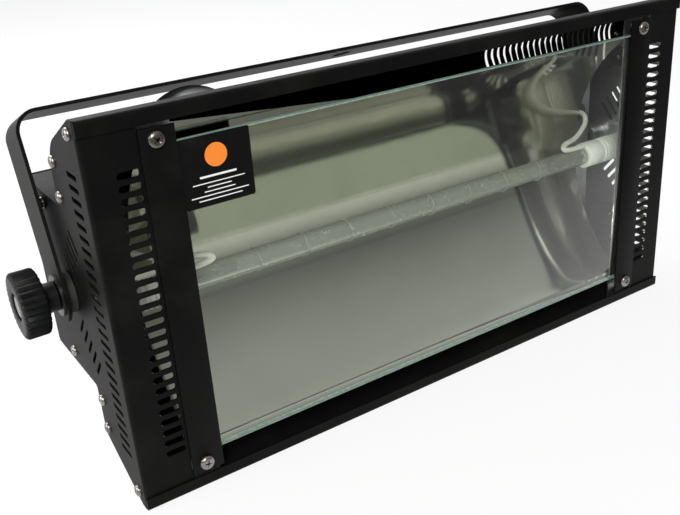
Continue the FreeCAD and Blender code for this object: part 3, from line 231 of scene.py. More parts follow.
# %% Satin aluminium of the reflector
def reflector_sheet():
    """Anodised sheet with rolling marks along X and a few smears."""
    sheet = Finish("reflector_sheet")
    rolling = sheet.noise(160, stretch=(0.03, 1, 1))
    smears = sheet.noise(14, detail=6.0, rough=0.65)
    drips = sheet.level(sheet.noise(30, detail=4.0, stretch=(1, 1, 0.25)), 0.52, 0.78)
    colour = sheet.blend(sheet.level(smears, 0.35, 0.75), (0.50, 0.49, 0.42), (0.43, 0.425, 0.36))
    roughness = rolling * 0.03 + smears * 0.06 + drips * 0.05 + 0.04
    return sheet.surface(Base_Color=colour, Metallic=1.0, Roughness=roughness,
                         Normal=sheet.bump(rolling, 0.000008, 0.08))


satin_sheet = reflector_sheet()

# %% [markdown]
# Glass and quartz
#
# Float glass is clear across its thickness and green along it, because its iron tints the long
# way through. The pane gets a faint green for its faces and a stronger, frosted green for the
# ground edges. The flash tube is quartz that has been fired many times: still clear, but grey
# and speckled, so part of it scatters light. A renderer treats bent light from a lamp as too
# rare to find, and leaves what is behind glass dark and grainy. So the rays that carry light to
# the pieces behind go straight through, and so do those that a mirror sends on, which have a
# glossy depth of one or more. The pane is thin and flat, so what is behind it is shifted by less
# than two millimetres. It hardly bends a ray here, and a clear coat gives it the gloss of glass.

# %% Clear, ground and fired glass
LIGHT_RAYS = ("Is Shadow Ray", "Is Diffuse Ray", "Glossy Depth")


def pane_glass():
    """The faces of the front pane: hardly bending, with the gloss of glass as a coat."""
    glass = Finish("pane_glass")
    return glass.surface(open_to=LIGHT_RAYS, tint=(0.94, 0.97, 0.94),
                         Base_Color=(0.95, 0.975, 0.945), Transmission_Weight=1.0, IOR=1.04,
                         Roughness=0.0, Coat_Weight=1.0, Coat_Roughness=0.0, Coat_IOR=1.5)


def ground_edge():
    """The pale green ground edge of the pane."""
    edge = Finish("ground_edge")
    chips = edge.noise(500, detail=3.0)
    colour = edge.blend(edge.level(chips, 0.4, 0.7), (0.24, 0.37, 0.31), (0.40, 0.53, 0.46))
    return edge.surface(Base_Color=colour, Roughness=0.35, Transmission_Weight=0.25,
                        Normal=edge.bump(chips, 0.00003, 0.5))


def fired_quartz():
    """The wall of the flash tube, greyed and speckled by its discharges."""
    quartz = Finish("fired_quartz")
    specks = quartz.level(quartz.noise(330, detail=3.0), 0.60, 0.74)
    haze = quartz.level(quartz.noise(30, detail=4.0, stretch=(0.4, 1, 1)), 0.35, 0.7)
    colour = quartz.blend(specks, (0.56, 0.565, 0.52), (0.80, 0.80, 0.76))
    return quartz.surface(open_to=LIGHT_RAYS, tint=(0.86, 0.87, 0.84),
                          Base_Color=colour, Roughness=haze * 0.08 + specks * 0.15 + 0.14,
                          Transmission_Weight=0.80, IOR=1.46, Specular_IOR_Level=0.3,
                          Normal=quartz.bump(specks, 0.00001, 0.08))


clear_pane = pane_glass()
pane_edge = ground_edge()
tube_quartz = fired_quartz()

# %% [markdown]
# Plastics, ceramic and rubber
#
# These don't shine like metal, so their colour does the work. Moulded plastic has a fine spark
# erosion grain. The ceramic caps are unglazed and a little cream, with grey handling marks. The
# lamp lead has a white glass fibre sleeve, whose braid is a fine crossed relief.

# %% Plastics, ceramic and rubber
def moulded(name, colour, worn, gloss, grain=1800, shine=0.5):
    """A moulded or fired piece with a fine grain and handling marks."""
    mould = Finish(name)
    texture = mould.noise(grain)
    marks = mould.level(mould.noise(55, detail=5.0, rough=0.65), 0.5, 0.8)
    return mould.surface(Base_Color=mould.blend(marks, colour, worn),
                         Roughness=marks * 0.12 + texture * 0.1 + gloss,
                         Specular_IOR_Level=shine, Normal=mould.bump(texture, 0.00002, 0.5))


grip_plastic = moulded("grip_plastic", (0.006, 0.007, 0.0065), (0.020, 0.021, 0.019), 0.34,
                       shine=0.12)
socket_plastic = moulded("socket_plastic", (0.016, 0.016, 0.016), (0.03, 0.03, 0.029), 0.36)
gloss_plastic = moulded("gloss_plastic", (0.010, 0.010, 0.010), (0.02, 0.02, 0.02), 0.12)
label_black = moulded("label_black", (0.0035, 0.0035, 0.0035), (0.010, 0.010, 0.010), 0.30,
                      shine=0.15)
seal_rubber = moulded("seal_rubber", (0.018, 0.018, 0.018), (0.035, 0.034, 0.032), 0.62,
                      grain=900)
ceramic = moulded("ceramic", (0.86, 0.855, 0.81), (0.70, 0.69, 0.64), 0.45, grain=1200)
shrink_sleeve = moulded("shrink_sleeve", (0.03, 0.07, 0.24), (0.05, 0.09, 0.25), 0.22)
potting = moulded("potting", (0.02, 0.02, 0.022), (0.04, 0.04, 0.04), 0.28, grain=300)
solder_mask = moulded("solder_mask", (0.02, 0.13, 0.05), (0.03, 0.17, 0.07), 0.26, grain=700)
mark_white = moulded("mark_white", (0.78, 0.78, 0.76), (0.66, 0.66, 0.63), 0.5)


def braided_sleeve():
    """White glass fibre sleeve with its crossed braid."""
    sleeve = Finish("braided_sleeve")
    mirrored = sleeve.node("ShaderNodeMapping", {}, {"Vector": sleeve.place, "Scale": (-1, 1, 1)})
    one_way, other_way = [
        sleeve.node("ShaderNodeTexWave", {"wave_type": "BANDS", "bands_direction": "DIAGONAL"},
                    {"Vector": place, "Scale": 420.0, "Distortion": 1.5})
        for place in (sleeve.place, mirrored)]
    braid = one_way.most(other_way)
    soil = sleeve.level(sleeve.noise(120, detail=4.0), 0.45, 0.8)
    return sleeve.surface(Base_Color=sleeve.blend(soil, (0.74, 0.73, 0.66), (0.52, 0.51, 0.44)),
                          Roughness=0.6, Normal=sleeve.bump(braid, 0.00012, 0.6))


lead_sleeve = braided_sleeve()

# %% [markdown]
# Finish for every solid that stays
#
# Most solids already have the right shape, with smooth folds. They keep their mesh and only get
# a finish, by name. A solid that a finer piece will stand for is dressed as well, so that nothing
# is ever left in a flat default grey.

# %% Dressing the solids
finishes = {
    "yoke_bracket": yoke_paint, "clamp_washers": black_zinc, "friction_washers": seal_rubber,
    "pivot_bosses": zinc_plate, "knob_right": grip_plastic, "knob_left": grip_plastic,
    "knob_stud_right": screw_steel, "knob_stud_left": screw_steel,
    "side_plate_right": case_paint, "side_plate_left": case_paint,
    "side_screws_right": screw_steel, "side_screws_left": screw_steel,
    "wall_top": case_paint, "wall_bottom": case_paint, "rear_box_top": case_paint,
    "rear_box_bottom": case_paint, "rear_panel": case_paint, "panel_screws": black_zinc,
    "partition_plate": zinc_plate, "glass_pane": clear_pane, "glass_gaskets": seal_rubber,
    "glass_strip_right": case_paint, "glass_strip_left": case_paint, "glass_rails": zinc_plate,
    "strip_sleeves": zinc_plate, "strip_screws": screw_steel, "label_plate": label_black,
    "reflector": satin_sheet, "reflector_standoffs": zinc_plate, "lamp_tube": tube_quartz,
    "lamp_electrodes": dark_tungsten, "trigger_wire": nickel, "lamp_caps": ceramic,
    "lamp_holders": zinc_plate, "lamp_leads": lead_sleeve, "lead_grommets": seal_rubber,
    "terminal_blocks": ceramic, "blower_scroll": socket_plastic, "blower_motor": core_steel,
    "blower_impeller": socket_plastic, "power_inlet": socket_plastic, "fuse_holder": socket_plastic,
    "switch_frame": socket_plastic, "switch_rocker": gloss_plastic,
    "control_sockets": socket_plastic, "rate_knob": socket_plastic, "rate_shaft": zinc_plate,
    "intensity_knob": socket_plastic, "intensity_shaft": zinc_plate, "pot_bodies": zinc_plate,
    "control_board": solder_mask, "power_board": solder_mask, "board_standoffs": zinc_plate,
    "capacitors": shrink_sleeve, "capacitor_clamp": zinc_plate, "choke_core": core_steel,
    "choke_winding": copper_wire, "trigger_transformer": potting,
}
for name, finish in finishes.items():
    materials = nodes[name].data.materials
    if materials:
        materials[0] = finish
    else:
        materials.append(finish)
print("dressed", len(finishes), "of", len(nodes), "solids")

# %% [markdown]
# Bare insides of the side plates
#
# The plates are painted on the outside only. Their inner faces, up to and including the back of
# the slotted front fold, stay bare zinc, which the trough mirrors as grey.

# %% Bare inner faces
fold_depth = 12 * MM
for name, inward in (("side_plate_right", -1), ("side_plate_left", 1)):
    plate = nodes[name].data
    plate.materials.append(zinc_plate)
    fold_end = Vector(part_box(name)[0]).y + fold_depth
    for face in plate.polygons:
        if face.normal.x * inward > 0.5 or (face.normal.y > 0.7 and face.center.y < fold_end):
            face.material_index = 1

# %% [markdown]
# Hand tools
#
# The next pieces are modelled the way a person would do it: add a primitive, go into edit mode,
# pick faces or edges, and extrude, inset or bevel them. The helpers below pick by place, as the
# mouse would, and put the finished piece in the frame.

# %% Picking, shaping and handing over
def start_clean():
    """Leaves edit mode and deselects everything."""
    if bpy.context.object and bpy.context.object.mode != "OBJECT":
        bpy.ops.object.mode_set(mode="OBJECT")
    bpy.ops.object.select_all(action="DESELECT")


def set_place():
    """Puts the place, turn and scale of the active object into its mesh."""
    bpy.ops.object.transform_apply(location=True, rotation=True, scale=True)
    return bpy.context.object


def block(low, high):
    """A box between two corners, as a first shape."""
    start_clean()
    low, high = Vector(low), Vector(high)
    bpy.ops.mesh.primitive_cube_add(size=1, location=(low + high) / 2)
    bpy.context.object.scale = high - low
    return set_place()


def round_bar(start, radius, length, turn, sides=64):
    """A round bar from a point along the axis that the turn gives, as a first shape."""
    start_clean()
    bpy.ops.mesh.primitive_cylinder_add(vertices=sides, radius=radius, depth=length, rotation=turn)
    bar = bpy.context.object
    bpy.context.view_layer.update()
    bar.location = Vector(start) + bar.matrix_world.to_3x3() @ Vector((0, 0, length / 2))
    return set_place()


def pick(piece, kind, test):
    """Goes into edit mode and selects the faces, edges or points that pass a test."""
    if piece.mode != "EDIT":
        start_clean()
        piece.select_set(True)
        bpy.context.view_layer.objects.active = piece
        bpy.ops.object.mode_set(mode="EDIT")
    bpy.ops.mesh.select_mode(type={"faces": "FACE", "edges": "EDGE", "verts": "VERT"}[kind])
    bpy.ops.mesh.select_all(action="DESELECT")
    mesh = bmesh.from_edit_mesh(piece.data)
    for part in getattr(mesh, kind):
        if test(part):
            part.select_set(True)
    mesh.select_flush_mode()
    bmesh.update_edit_mesh(piece.data)


def soften(piece, width, steps=2, angle=40):
    """Rounds every edge sharper than an angle with a bevel modifier, and applies it."""
    start_clean()
    piece.select_set(True)
    bpy.context.view_layer.objects.active = piece
    bevel = piece.modifiers.new("soft_edges", "BEVEL")
    bevel.width = width
    bevel.segments = steps
    bevel.limit_method = "ANGLE"
    bevel.angle_limit = math.radians(angle)
    bpy.ops.object.modifier_apply(modifier=bevel.name)
    return piece


def hand_over(piece, name, body, finish, slot, *replaced, smooth=35):
    """Names a finished piece, smooths it, gives it its finish and lets it ride on its body."""
    start_clean()
    piece.name = name
    piece.data.name = name
    piece.select_set(True)
    bpy.context.view_layer.objects.active = piece
    bpy.ops.object.shade_smooth_by_angle(angle=math.radians(smooth))
    if not piece.data.materials:
        piece.data.materials.append(finish)
    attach(piece, body)
    if replaced:
        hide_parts(*replaced)
    print(name, "rides on", body, "with", len(piece.data.polygons), "faces")


def copied(piece, across=False):
    """A copy with its own mesh, in the same place or mirrored to the other side."""
    twin = piece.copy()
    twin.data = piece.data.copy()
    bpy.context.scene.collection.objects.link(twin)
    if across:
        for vertex in twin.data.vertices:
            vertex.co.x = -vertex.co.x
        twin.data.flip_normals()
    return twin


# %% [markdown]
# Where the numbers come from
#
# The sizes below are in millimetres from the middle of the casing's front face: X to the right,
# Y to the rear, Z up. The next cell finds that point in the frame, so that the numbers stay
# readable. It also lists the separate solids of a node, which gives the places of all screws.

# %% Front centre and loose solids
top_low, top_high = [Vector(corner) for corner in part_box("wall_top")]
bottom_low = Vector(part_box("wall_bottom")[0])
front_centre = Vector((0, top_low.y, (top_high.z + bottom_low.z) / 2))


def at(x, y, z):
    """A place in the frame, from millimetres off the middle of the front face."""
    return front_centre + Vector((x, y, z)) * MM


print("front centre:", [round(place / MM, 2) for place in front_centre], "mm")


def loose_solids(name):
    """The lowest and highest corner of each separate solid of a node."""
    mesh = bmesh.new()
    mesh.from_mesh(nodes[name].data)
    bmesh.ops.remove_doubles(mesh, verts=mesh.verts, dist=0.001 * MM)
    left = set(mesh.verts)
    found = []
    while left:
        reached = [left.pop()]
        for point in reached:
            for edge in point.link_edges:
                other = edge.other_vert(point)
                if other in left:
                    left.remove(other)
                    reached.append(other)
        places = [point.co.copy() for point in reached]
        found.append((Vector([min(place[axis] for place in places) for axis in range(3)]),
                      Vector([max(place[axis] for place in places) for axis in range(3)])))
    mesh.free()
    return sorted(found, key=lambda corners: tuple(corners[0]))


# %% [markdown]
# Turned pieces
#
# Caps, knobs and screws are turned shapes. They start as a circle that is extruded along its
# axis again and again, each time scaled to the next radius, as a lathe would leave it.

# %% A lathe made of extrude and scale
def turned(centre, axis, profile, sides):
    """A closed turned piece from pairs of distance and radius in mm along X or Y."""
    start_clean()
    along = Vector((1, 0, 0)) if axis == "X" else Vector((0, 1, 0))
    turn = (0, math.radians(90), 0) if axis == "X" else (math.radians(90), 0, 0)
    place = Vector(centre) + along * profile[0][0] * MM
    bpy.ops.mesh.primitive_circle_add(vertices=sides, radius=profile[0][1] * MM, fill_type="NGON",
                                      location=place, rotation=turn)
    piece = set_place()
    bpy.ops.object.mode_set(mode="EDIT")
    bpy.ops.mesh.select_mode(type="FACE")
    bpy.ops.mesh.select_all(action="SELECT")
    for (near, small), (far, large) in zip(profile, profile[1:]):
        step = along * (far - near) * MM
        place = place + step
        bpy.ops.mesh.extrude_region_move(TRANSFORM_OT_translate={"value": step})
        if large != small:
            ratio = large / small
            scale = (1, ratio, ratio) if axis == "X" else (ratio, 1, ratio)
            bpy.ops.transform.resize(value=scale, center_override=place)
    bpy.ops.mesh.select_all(action="SELECT")
    bpy.ops.mesh.normals_make_consistent(inside=False)
    bpy.ops.object.mode_set(mode="OBJECT")
    return piece


# %% [markdown]
# Glass pane
#
# The pane has ground and slightly rounded edges. They scatter light and show pale green, which
# is the bright line along its top in the photograph. The faces stay clear.

# %% Glass pane with ground edges
pane = soften(block(*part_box("glass_pane")), 0.7 * MM)
pane.data.materials.append(clear_pane)
pane.data.materials.append(pane_edge)
pick(pane, "faces", lambda face: abs(face.normal.y) < 0.98)
pane.active_material_index = 1
bpy.ops.object.material_slot_assign()
hand_over(pane, "pane", "housing", clear_pane, "clear_glass", "glass_pane", smooth=25)

# %% [markdown]
# Flash tube
#
# A straight quartz tube with a bore. Its two end faces are inset by the wall, removed, and the
# rims of the holes are bridged into the bore.

# %% Flash tube
tube_low, tube_high = [Vector(corner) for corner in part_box("lamp_tube")]
tube_radius = (tube_high.z - tube_low.z) / 2
tube_wall = 1.3 * MM
lamp_axis = Vector((0, (tube_low.y + tube_high.y) / 2, (tube_low.z + tube_high.z) / 2))
flash_tube = round_bar((tube_low.x, lamp_axis.y, lamp_axis.z), tube_radius,
                       tube_high.x - tube_low.x, (0, math.radians(90), 0), sides=72)
pick(flash_tube, "faces", lambda face: abs(face.normal.x) > 0.9)
bpy.ops.mesh.inset(thickness=tube_wall, use_individual=True)
bpy.ops.mesh.delete(type="FACE")
pick(flash_tube, "edges", lambda edge: edge.is_boundary)
bpy.ops.mesh.bridge_edge_loops()
bpy.ops.mesh.select_all(action="SELECT")
bpy.ops.mesh.normals_make_consistent(inside=False)
bpy.ops.object.mode_set(mode="OBJECT")
soften(flash_tube, 0.3 * MM)
hand_over(flash_tube, "flash_tube", "housing", tube_quartz, "quartz", "lamp_tube")

# %% [markdown]
# Lower lip of the trough
#
# The trough's sheet goes on past its lower rim, in the same direction, to just below the edge of
# the glass, so that the trough shows bright right down to that edge. It is a flat strip with its
# ends at the trough's ends.

# %% Lower lip
lip_rear = at(0, 12.35, -88.0)
lip_front = at(0, 8.4, -90.75)
lip_width = (lip_front - lip_rear).length
lip_sheet = 0.8 * MM
trough_low, trough_high = [Vector(corner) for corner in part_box("reflector")]
lip = block((trough_low.x, 0, -lip_sheet), (trough_high.x, lip_width, 0))
lip_slope = math.atan2(lip_rear.z - lip_front.z, lip_rear.y - lip_front.y)
lip.data.transform(Matrix.Translation(lip_front) @ Matrix.Rotation(lip_slope, 4, "X"))
soften(lip, 0.2 * MM)
hand_over(lip, "reflector_lip", "housing", satin_sheet, "bright_aluminium")

# %% [markdown]
# Ceramic caps
#
# Each end of the lamp sits in a white cap: a smooth socket towards the lamp, then a row of
# cooling ribs. The ribs are rounded, so each has four points in its profile.

# %% Ceramic caps with ribs
cap_mouth = 160 * MM
rib_count, rib_pitch, first_rib = 9, 3.2, 15.4
cap_profile = [(0, 6.9), (0, 8.4), (0.6, 9.0), (14.0, 9.0), (15.0, 8.6)]
for rib in range(rib_count):
    start = first_rib + rib_pitch * rib
    cap_profile += [(start, 7.7), (start + 0.9, 7.7), (start + 1.3, 8.7), (start + 1.8, 9.0),
                    (start + 2.4, 9.0), (start + 2.9, 8.7)]
cap_profile += [(44.5, 7.7), (45.0, 7.2)]
cap = turned(lamp_axis + Vector((cap_mouth, 0, 0)), "X", cap_profile, sides=72)
other_cap = copied(cap, across=True)
hand_over(cap, "cap_right", "housing", ceramic, "white_ceramic", "lamp_caps", smooth=50)
hand_over(other_cap, "cap_left", "housing", ceramic, "white_ceramic", "lamp_caps", smooth=50)

# %% [markdown]
# Lamp leads
#
# A white sleeved lead leaves each cap at its mouth, doubles back beside the cap and goes through
# a grommet in the partition. It is held at both ends. It is drawn as one smooth line through the
# air and given its thickness, and then it becomes a mesh.

# %% Lamp leads
lead_points = [(160.0, 34.2, 8.1), (139.5, 33.2, 7.8), (139.0, 35.6, 12.4), (156.5, 40.5, 12.2),
               (168.5, 45.5, 14.6), (178.5, 50.5, 18.0), (183.2, 56.0, 21.4), (184.0, 61.0, 22.5),
               (184.0, 66.7, 22.5)]
lead_radius = 1.8 * MM


def lamp_lead(name, side):
    """One lead, from the cap to the grommet."""
    start_clean()
    line = bpy.data.curves.new(name, "CURVE")
    line.dimensions = "3D"
    spline = line.splines.new("NURBS")
    spline.points.add(len(lead_points) - 1)
    for point, (x, y, z) in zip(spline.points, lead_points):
        point.co = (*at(side * x, y, z), 1)
    spline.order_u = 3
    spline.use_endpoint_u = True
    line.resolution_u = 24
    line.bevel_depth = lead_radius
    line.bevel_resolution = 6
    line.use_fill_caps = True
    lead = bpy.data.objects.new(name, line)
    bpy.context.scene.collection.objects.link(lead)
    lead.select_set(True)
    bpy.context.view_layer.objects.active = lead
    bpy.ops.object.convert(target="MESH")
    return bpy.context.object


for name, side in (("lead_right", 1), ("lead_left", -1)):
    hand_over(lamp_lead(name, side), name, "housing", lead_sleeve, "white_sleeve", "lamp_leads",
              smooth=60)

# %% [markdown]
# Screws
#
# One pan head screw is turned and gets its cross by cutting away two crossed bars. All the other
# screws are copies of its mesh, turned to their side of the casing and moved to where a solid
# screw is. The heads are turned a little differently each, as after assembly.

# %% One screw and its copies
def cross_screw(name, radius, height, shank, length):
    """A pan head screw with its seat at the origin and its head towards -Y."""
    profile = [(-height, radius * 0.35), (-height * 0.97, radius * 0.55),
               (-height * 0.80, radius * 0.82), (-height * 0.45, radius * 0.97),
               (-height * 0.15, radius), (0, radius), (0, shank), (length - 0.6, shank),
               (length, shank * 0.6)]
    arm, half_slit, bottom = radius * 0.62 * MM, radius * 0.10 * MM, -height * 0.42 * MM
    screw = turned((0, 0, 0), "Y", profile, sides=48)
    for turn in (0, 90):
        bar = block((-arm, -(height + 1) * MM, -half_slit), (arm, bottom, half_slit))
        pick(bar, "faces", lambda face: face.normal.y > 0.9)
        bpy.ops.transform.resize(value=(0.45, 1, 0.6), center_override=(0, bottom, 0))
        bpy.ops.mesh.select_all(action="SELECT")
        bpy.ops.transform.rotate(value=math.radians(turn), orient_axis="Y",
                                 center_override=(0, 0, 0))
        bpy.ops.object.mode_set(mode="OBJECT")
        start_clean()
        screw.select_set(True)
        bpy.context.view_layer.objects.active = screw
        cut = screw.modifiers.new("cross", "BOOLEAN")
        cut.operation = "DIFFERENCE"
        cut.solver = "EXACT"
        cut.object = bar
        bpy.ops.object.modifier_apply(modifier=cut.name)
        bpy.data.objects.remove(bar)
    screw.name = name
    return soften(screw, 0.12 * MM, steps=1, angle=35)


def screws_in_place(model, head, node, name, outward, finish):
    """A copy of the screw for each solid screw of a node, joined into one piece."""
    turn_to = Vector((0, -1, 0)).rotation_difference(Vector(outward)).to_matrix().to_4x4()
    set_of_screws = []
    for index, (low, high) in enumerate(loose_solids(node)):
        seat = (low + high) / 2
        if outward[0]:
            seat.x = (high.x if outward[0] > 0 else low.x) - outward[0] * head * MM
        else:
            seat.y = (high.y if outward[1] > 0 else low.y) - outward[1] * head * MM
        head_turn = math.radians(37 * index + 11)
        twin = copied(model)
        twin.data.transform(Matrix.Rotation(head_turn, 4, "Y"))
        twin.data.transform(turn_to)
        twin.data.transform(Matrix.Translation(seat))
        set_of_screws.append(twin)
    start_clean()
    for screw in set_of_screws:
        screw.select_set(True)
    bpy.context.view_layer.objects.active = set_of_screws[0]
    bpy.ops.object.join()
    hand_over(bpy.context.object, name, "housing", finish, "black_screw", node, smooth=40)


large_head, small_head = 2.6, 2.0
large_screw = cross_screw("large_screw", 4.5, large_head, 2.0, 6.0)
small_screw = cross_screw("small_screw", 3.4, small_head, 1.75, 6.0)
for model, head, node, name, outward, finish in (
        (large_screw, large_head, "strip_screws", "strip_screw_set", (0, -1, 0), screw_steel),
        (small_screw, small_head, "side_screws_right", "right_screw_set", (1, 0, 0), screw_steel),
        (small_screw, small_head, "side_screws_left", "left_screw_set", (-1, 0, 0), screw_steel),
        (small_screw, small_head, "panel_screws", "panel_screw_set", (0, 1, 0), black_zinc)):
    screws_in_place(model, head, node, name, outward, finish)
for model in (large_screw, small_screw):
    bpy.data.objects.remove(model)

# %% [markdown]
# Clamp knobs
#
# Each knob is turned first: a hub, a wide rim and a recess for the bolt's head. Then the rim's
# points are pushed in in turn, every fourth fully and its neighbours half as much, which makes
# thirty rounded flutes. The bolt's head stays its own bright piece.

# %% Fluted knobs
pivot_low, pivot_high = [Vector(corner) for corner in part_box("knob_right")]
pivot = Vector((0, (pivot_low.y + pivot_high.y) / 2, (pivot_low.z + pivot_high.z) / 2))
knob_start = pivot_low.x / MM
knob_profile = [(0, 7.6), (0.5, 8.5), (7.4, 8.5), (8.0, 9.4), (8.1, 17.2), (8.9, 18.6),
                (9.7, 19.0), (20.3, 19.0), (21.2, 18.5), (22.0, 17.0), (22.0, 9.0), (21.5, 8.0),
                (19.5, 8.0), (19.5, 0.5)]
flutes, flute_points = 30, 4
rim_start = (knob_start + 8.05) * MM
rim_inside = 15 * MM
knob = turned((knob_start * MM, pivot.y, pivot.z), "X", knob_profile, sides=flutes * flute_points)


def in_flute(vertex, step):
    """Whether a point of the rim lies on a flute's middle (0) or beside it (1 and 3)."""
    away = vertex.co - pivot
    if vertex.co.x < rim_start or math.hypot(away.y, away.z) < rim_inside:
        return False
    angle = math.degrees(math.atan2(away.z, away.y))
    return round(angle * flutes * flute_points / 360) % flute_points == step


for step, ratio in ((0, 0.925), (1, 0.965), (3, 0.965)):
    pick(knob, "verts", lambda vertex, step=step: in_flute(vertex, step))
    bpy.ops.transform.resize(value=(1, ratio, ratio), center_override=pivot)
bpy.ops.object.mode_set(mode="OBJECT")
other_knob = copied(knob, across=True)
hand_over(knob, "clamp_knob_right", "knob_right", grip_plastic, "black_plastic", "knob_right",
          smooth=45)
hand_over(other_knob, "clamp_knob_left", "knob_left", grip_plastic, "black_plastic", "knob_left",
          smooth=45)

# %% [markdown]
# Strips, label and rear marks
#
# The two strips that hold the glass have softened edges, which catch a thin line of light. The
# label is a plain black film with an orange disc and pale rules, and carries no words. On the
# rear panel each dial has a pointer and a ring of tick marks, and the rocker has its two signs.

# %% Strips over the glass
for side in ("right", "left"):
    strip = soften(block(*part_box("glass_strip_" + side)), 0.45 * MM)
    hand_over(strip, "strip_" + side, "housing", case_paint, "black_paint", "glass_strip_" + side)

# %% Label
film_low, film_high = [Vector(corner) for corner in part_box("label_plate")]
film = block(film_low, film_high)
film_corner = 1.2 * MM
pick(film, "edges", lambda edge: abs((edge.verts[1].co - edge.verts[0].co).normalized().y) > 0.9)
bpy.ops.mesh.bevel(offset=film_corner, segments=4)
bpy.ops.object.mode_set(mode="OBJECT")
hand_over(film, "label_film", "housing", label_black, "label_film", "label_plate", smooth=30)
print_orange = moulded("print_orange", (0.86, 0.23, 0.015), (0.80, 0.20, 0.02), 0.4)


def printed(pieces, name, body, finish, slot):
    """Joins small printed shapes into one piece."""
    start_clean()
    for piece in pieces:
        piece.select_set(True)
    bpy.context.view_layer.objects.active = pieces[0]
    if len(pieces) > 1:
        bpy.ops.object.join()
    hand_over(bpy.context.object, name, body, finish, slot)


ink = 0.06 * MM
film_width = film_high.x - film_low.x
film_height = film_high.z - film_low.z
middle_x = film_low.x + film_width / 2
disc_radius = 6.2 * MM
disc = round_bar((middle_x, film_low.y, film_high.z - film_height * 0.30), disc_radius, ink,
                 (math.radians(90), 0, 0))
printed([soften(disc, ink / 3, steps=1)], "label_disc", "housing", print_orange, "label_film")
rules = []
for drop, share, tall in ((0.58, 0.52, 1.1), (0.67, 0.74, 0.55), (0.73, 0.34, 0.55),
                          (0.79, 0.44, 0.55), (0.85, 0.82, 0.55), (0.91, 0.62, 0.55)):
    half_width, half_height = film_width * share / 2, tall * MM / 2
    level = film_high.z - film_height * drop
    rule = block((middle_x - half_width, film_low.y - ink, level - half_height),
                 (middle_x + half_width, film_low.y, level + half_height))
    rules.append(soften(rule, ink / 3, steps=1))
printed(rules, "label_rules", "housing", mark_white, "label_film")

# %% [markdown]
# Rear details
#
# The rocker's outer face is two shallow slopes. The middle and the direction of each are taken
# from its mesh, weighted by area, and a bar or a ring is laid on them. The dials' shafts end just
# short of the bottom of their bores. The blower's motor is turned, with a boss round its bearing.

# %% Rocker signs
rocker_low, rocker_high = [Vector(corner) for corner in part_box("switch_rocker")]
rocker_middle = (rocker_low.z + rocker_high.z) / 2


def slope(above):
    """The middle and the outward direction of the rocker's upper or lower slope."""
    weight, place, facing = 0.0, Vector(), Vector()
    for face in nodes["switch_rocker"].data.polygons:
        if face.normal.y > 0.85 and (face.center.z > rocker_middle) == above:
            weight += face.area
            place += face.center * face.area
            facing += face.normal * face.area
    return place / weight, facing.normalized()


def laid_on(piece, above):
    """Moves a sign that was made flat at the origin, facing up, onto a slope of the rocker."""
    place, facing = slope(above)
    turn = Vector((0, 0, 1)).rotation_difference(facing).to_matrix().to_4x4()
    piece.data.transform(Matrix.Translation(place) @ turn)
    return piece


half_bar = (0.3 * MM, 1.5 * MM, 0.05 * MM)
bar_sign = soften(block([-size for size in half_bar], half_bar), 0.02 * MM, steps=1)
start_clean()
bpy.ops.mesh.primitive_torus_add(major_radius=1.3 * MM, minor_radius=0.28 * MM, major_segments=48,
                                 minor_segments=12)
ring_sign = bpy.context.object
ring_sign.scale = (1, 1, 0.18)
set_place()
printed([laid_on(bar_sign, True), laid_on(ring_sign, False)], "rocker_signs", "rocker", mark_white,
        "black_plastic")

# %% Dial shafts
shaft_gap = 0.05 * MM
for node, body in (("rate_shaft", "rate_dial"), ("intensity_shaft", "intensity_dial")):
    low, high = [Vector(corner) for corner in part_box(node)]
    shaft = round_bar(((low.x + high.x) / 2, low.y + shaft_gap, (low.z + high.z) / 2),
                      (high.x - low.x) / 2, high.y - low.y - shaft_gap, (math.radians(-90), 0, 0),
                      sides=48)
    hand_over(soften(shaft, 0.3 * MM), body + "_shaft", body, zinc_plate, "zinc_steel", node)

# %% Blower motor
motor_low, motor_high = [Vector(corner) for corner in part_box("blower_motor")]
motor_radius = (motor_high.x - motor_low.x) / 2 / MM
scroll_rear = (Vector(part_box("blower_scroll")[1]).y - motor_low.y) / MM
motor_end = (motor_high.y - motor_low.y) / MM
can_front, can_rear = scroll_rear + 0.05, motor_end - 1.5
motor_profile = [(0, 1.6), (0.4, 2.0), (can_front, 2.0), (can_front, motor_radius - 0.6),
                 (scroll_rear + 0.65, motor_radius), (motor_end - 2.2, motor_radius),
                 (can_rear, motor_radius - 0.7), (can_rear, 5.0), (motor_end - 0.3, 4.7),
                 (motor_end, 4.3), (motor_end, 0.6)]
motor_start = ((motor_low.x + motor_high.x) / 2, motor_low.y, (motor_low.z + motor_high.z) / 2)
motor = turned(motor_start, "Y", motor_profile, sides=72)
hand_over(motor, "motor_can", "housing", core_steel, "zinc_steel", "blower_motor", smooth=40)

# %% Dials with a pointer and tick marks
dial_profile = [(0, 9.6), (0.6, 10.0), (2.6, 9.6), (4.0, 8.0), (12.4, 7.2), (13.0, 6.0),
                (13.0, 0.5)]
dial_sides = 96
grip_start, grip_inside = 3.5 * MM, 7.0 * MM
pointer_low, pointer_high = (-0.5, 12.7, 1.2), (0.5, 13.06, 5.6)
half_tick, tick_inner, tick_outer = 0.3 * MM, 11.6 * MM, 14.0 * MM
dial_turn, tick_step = 150, 30


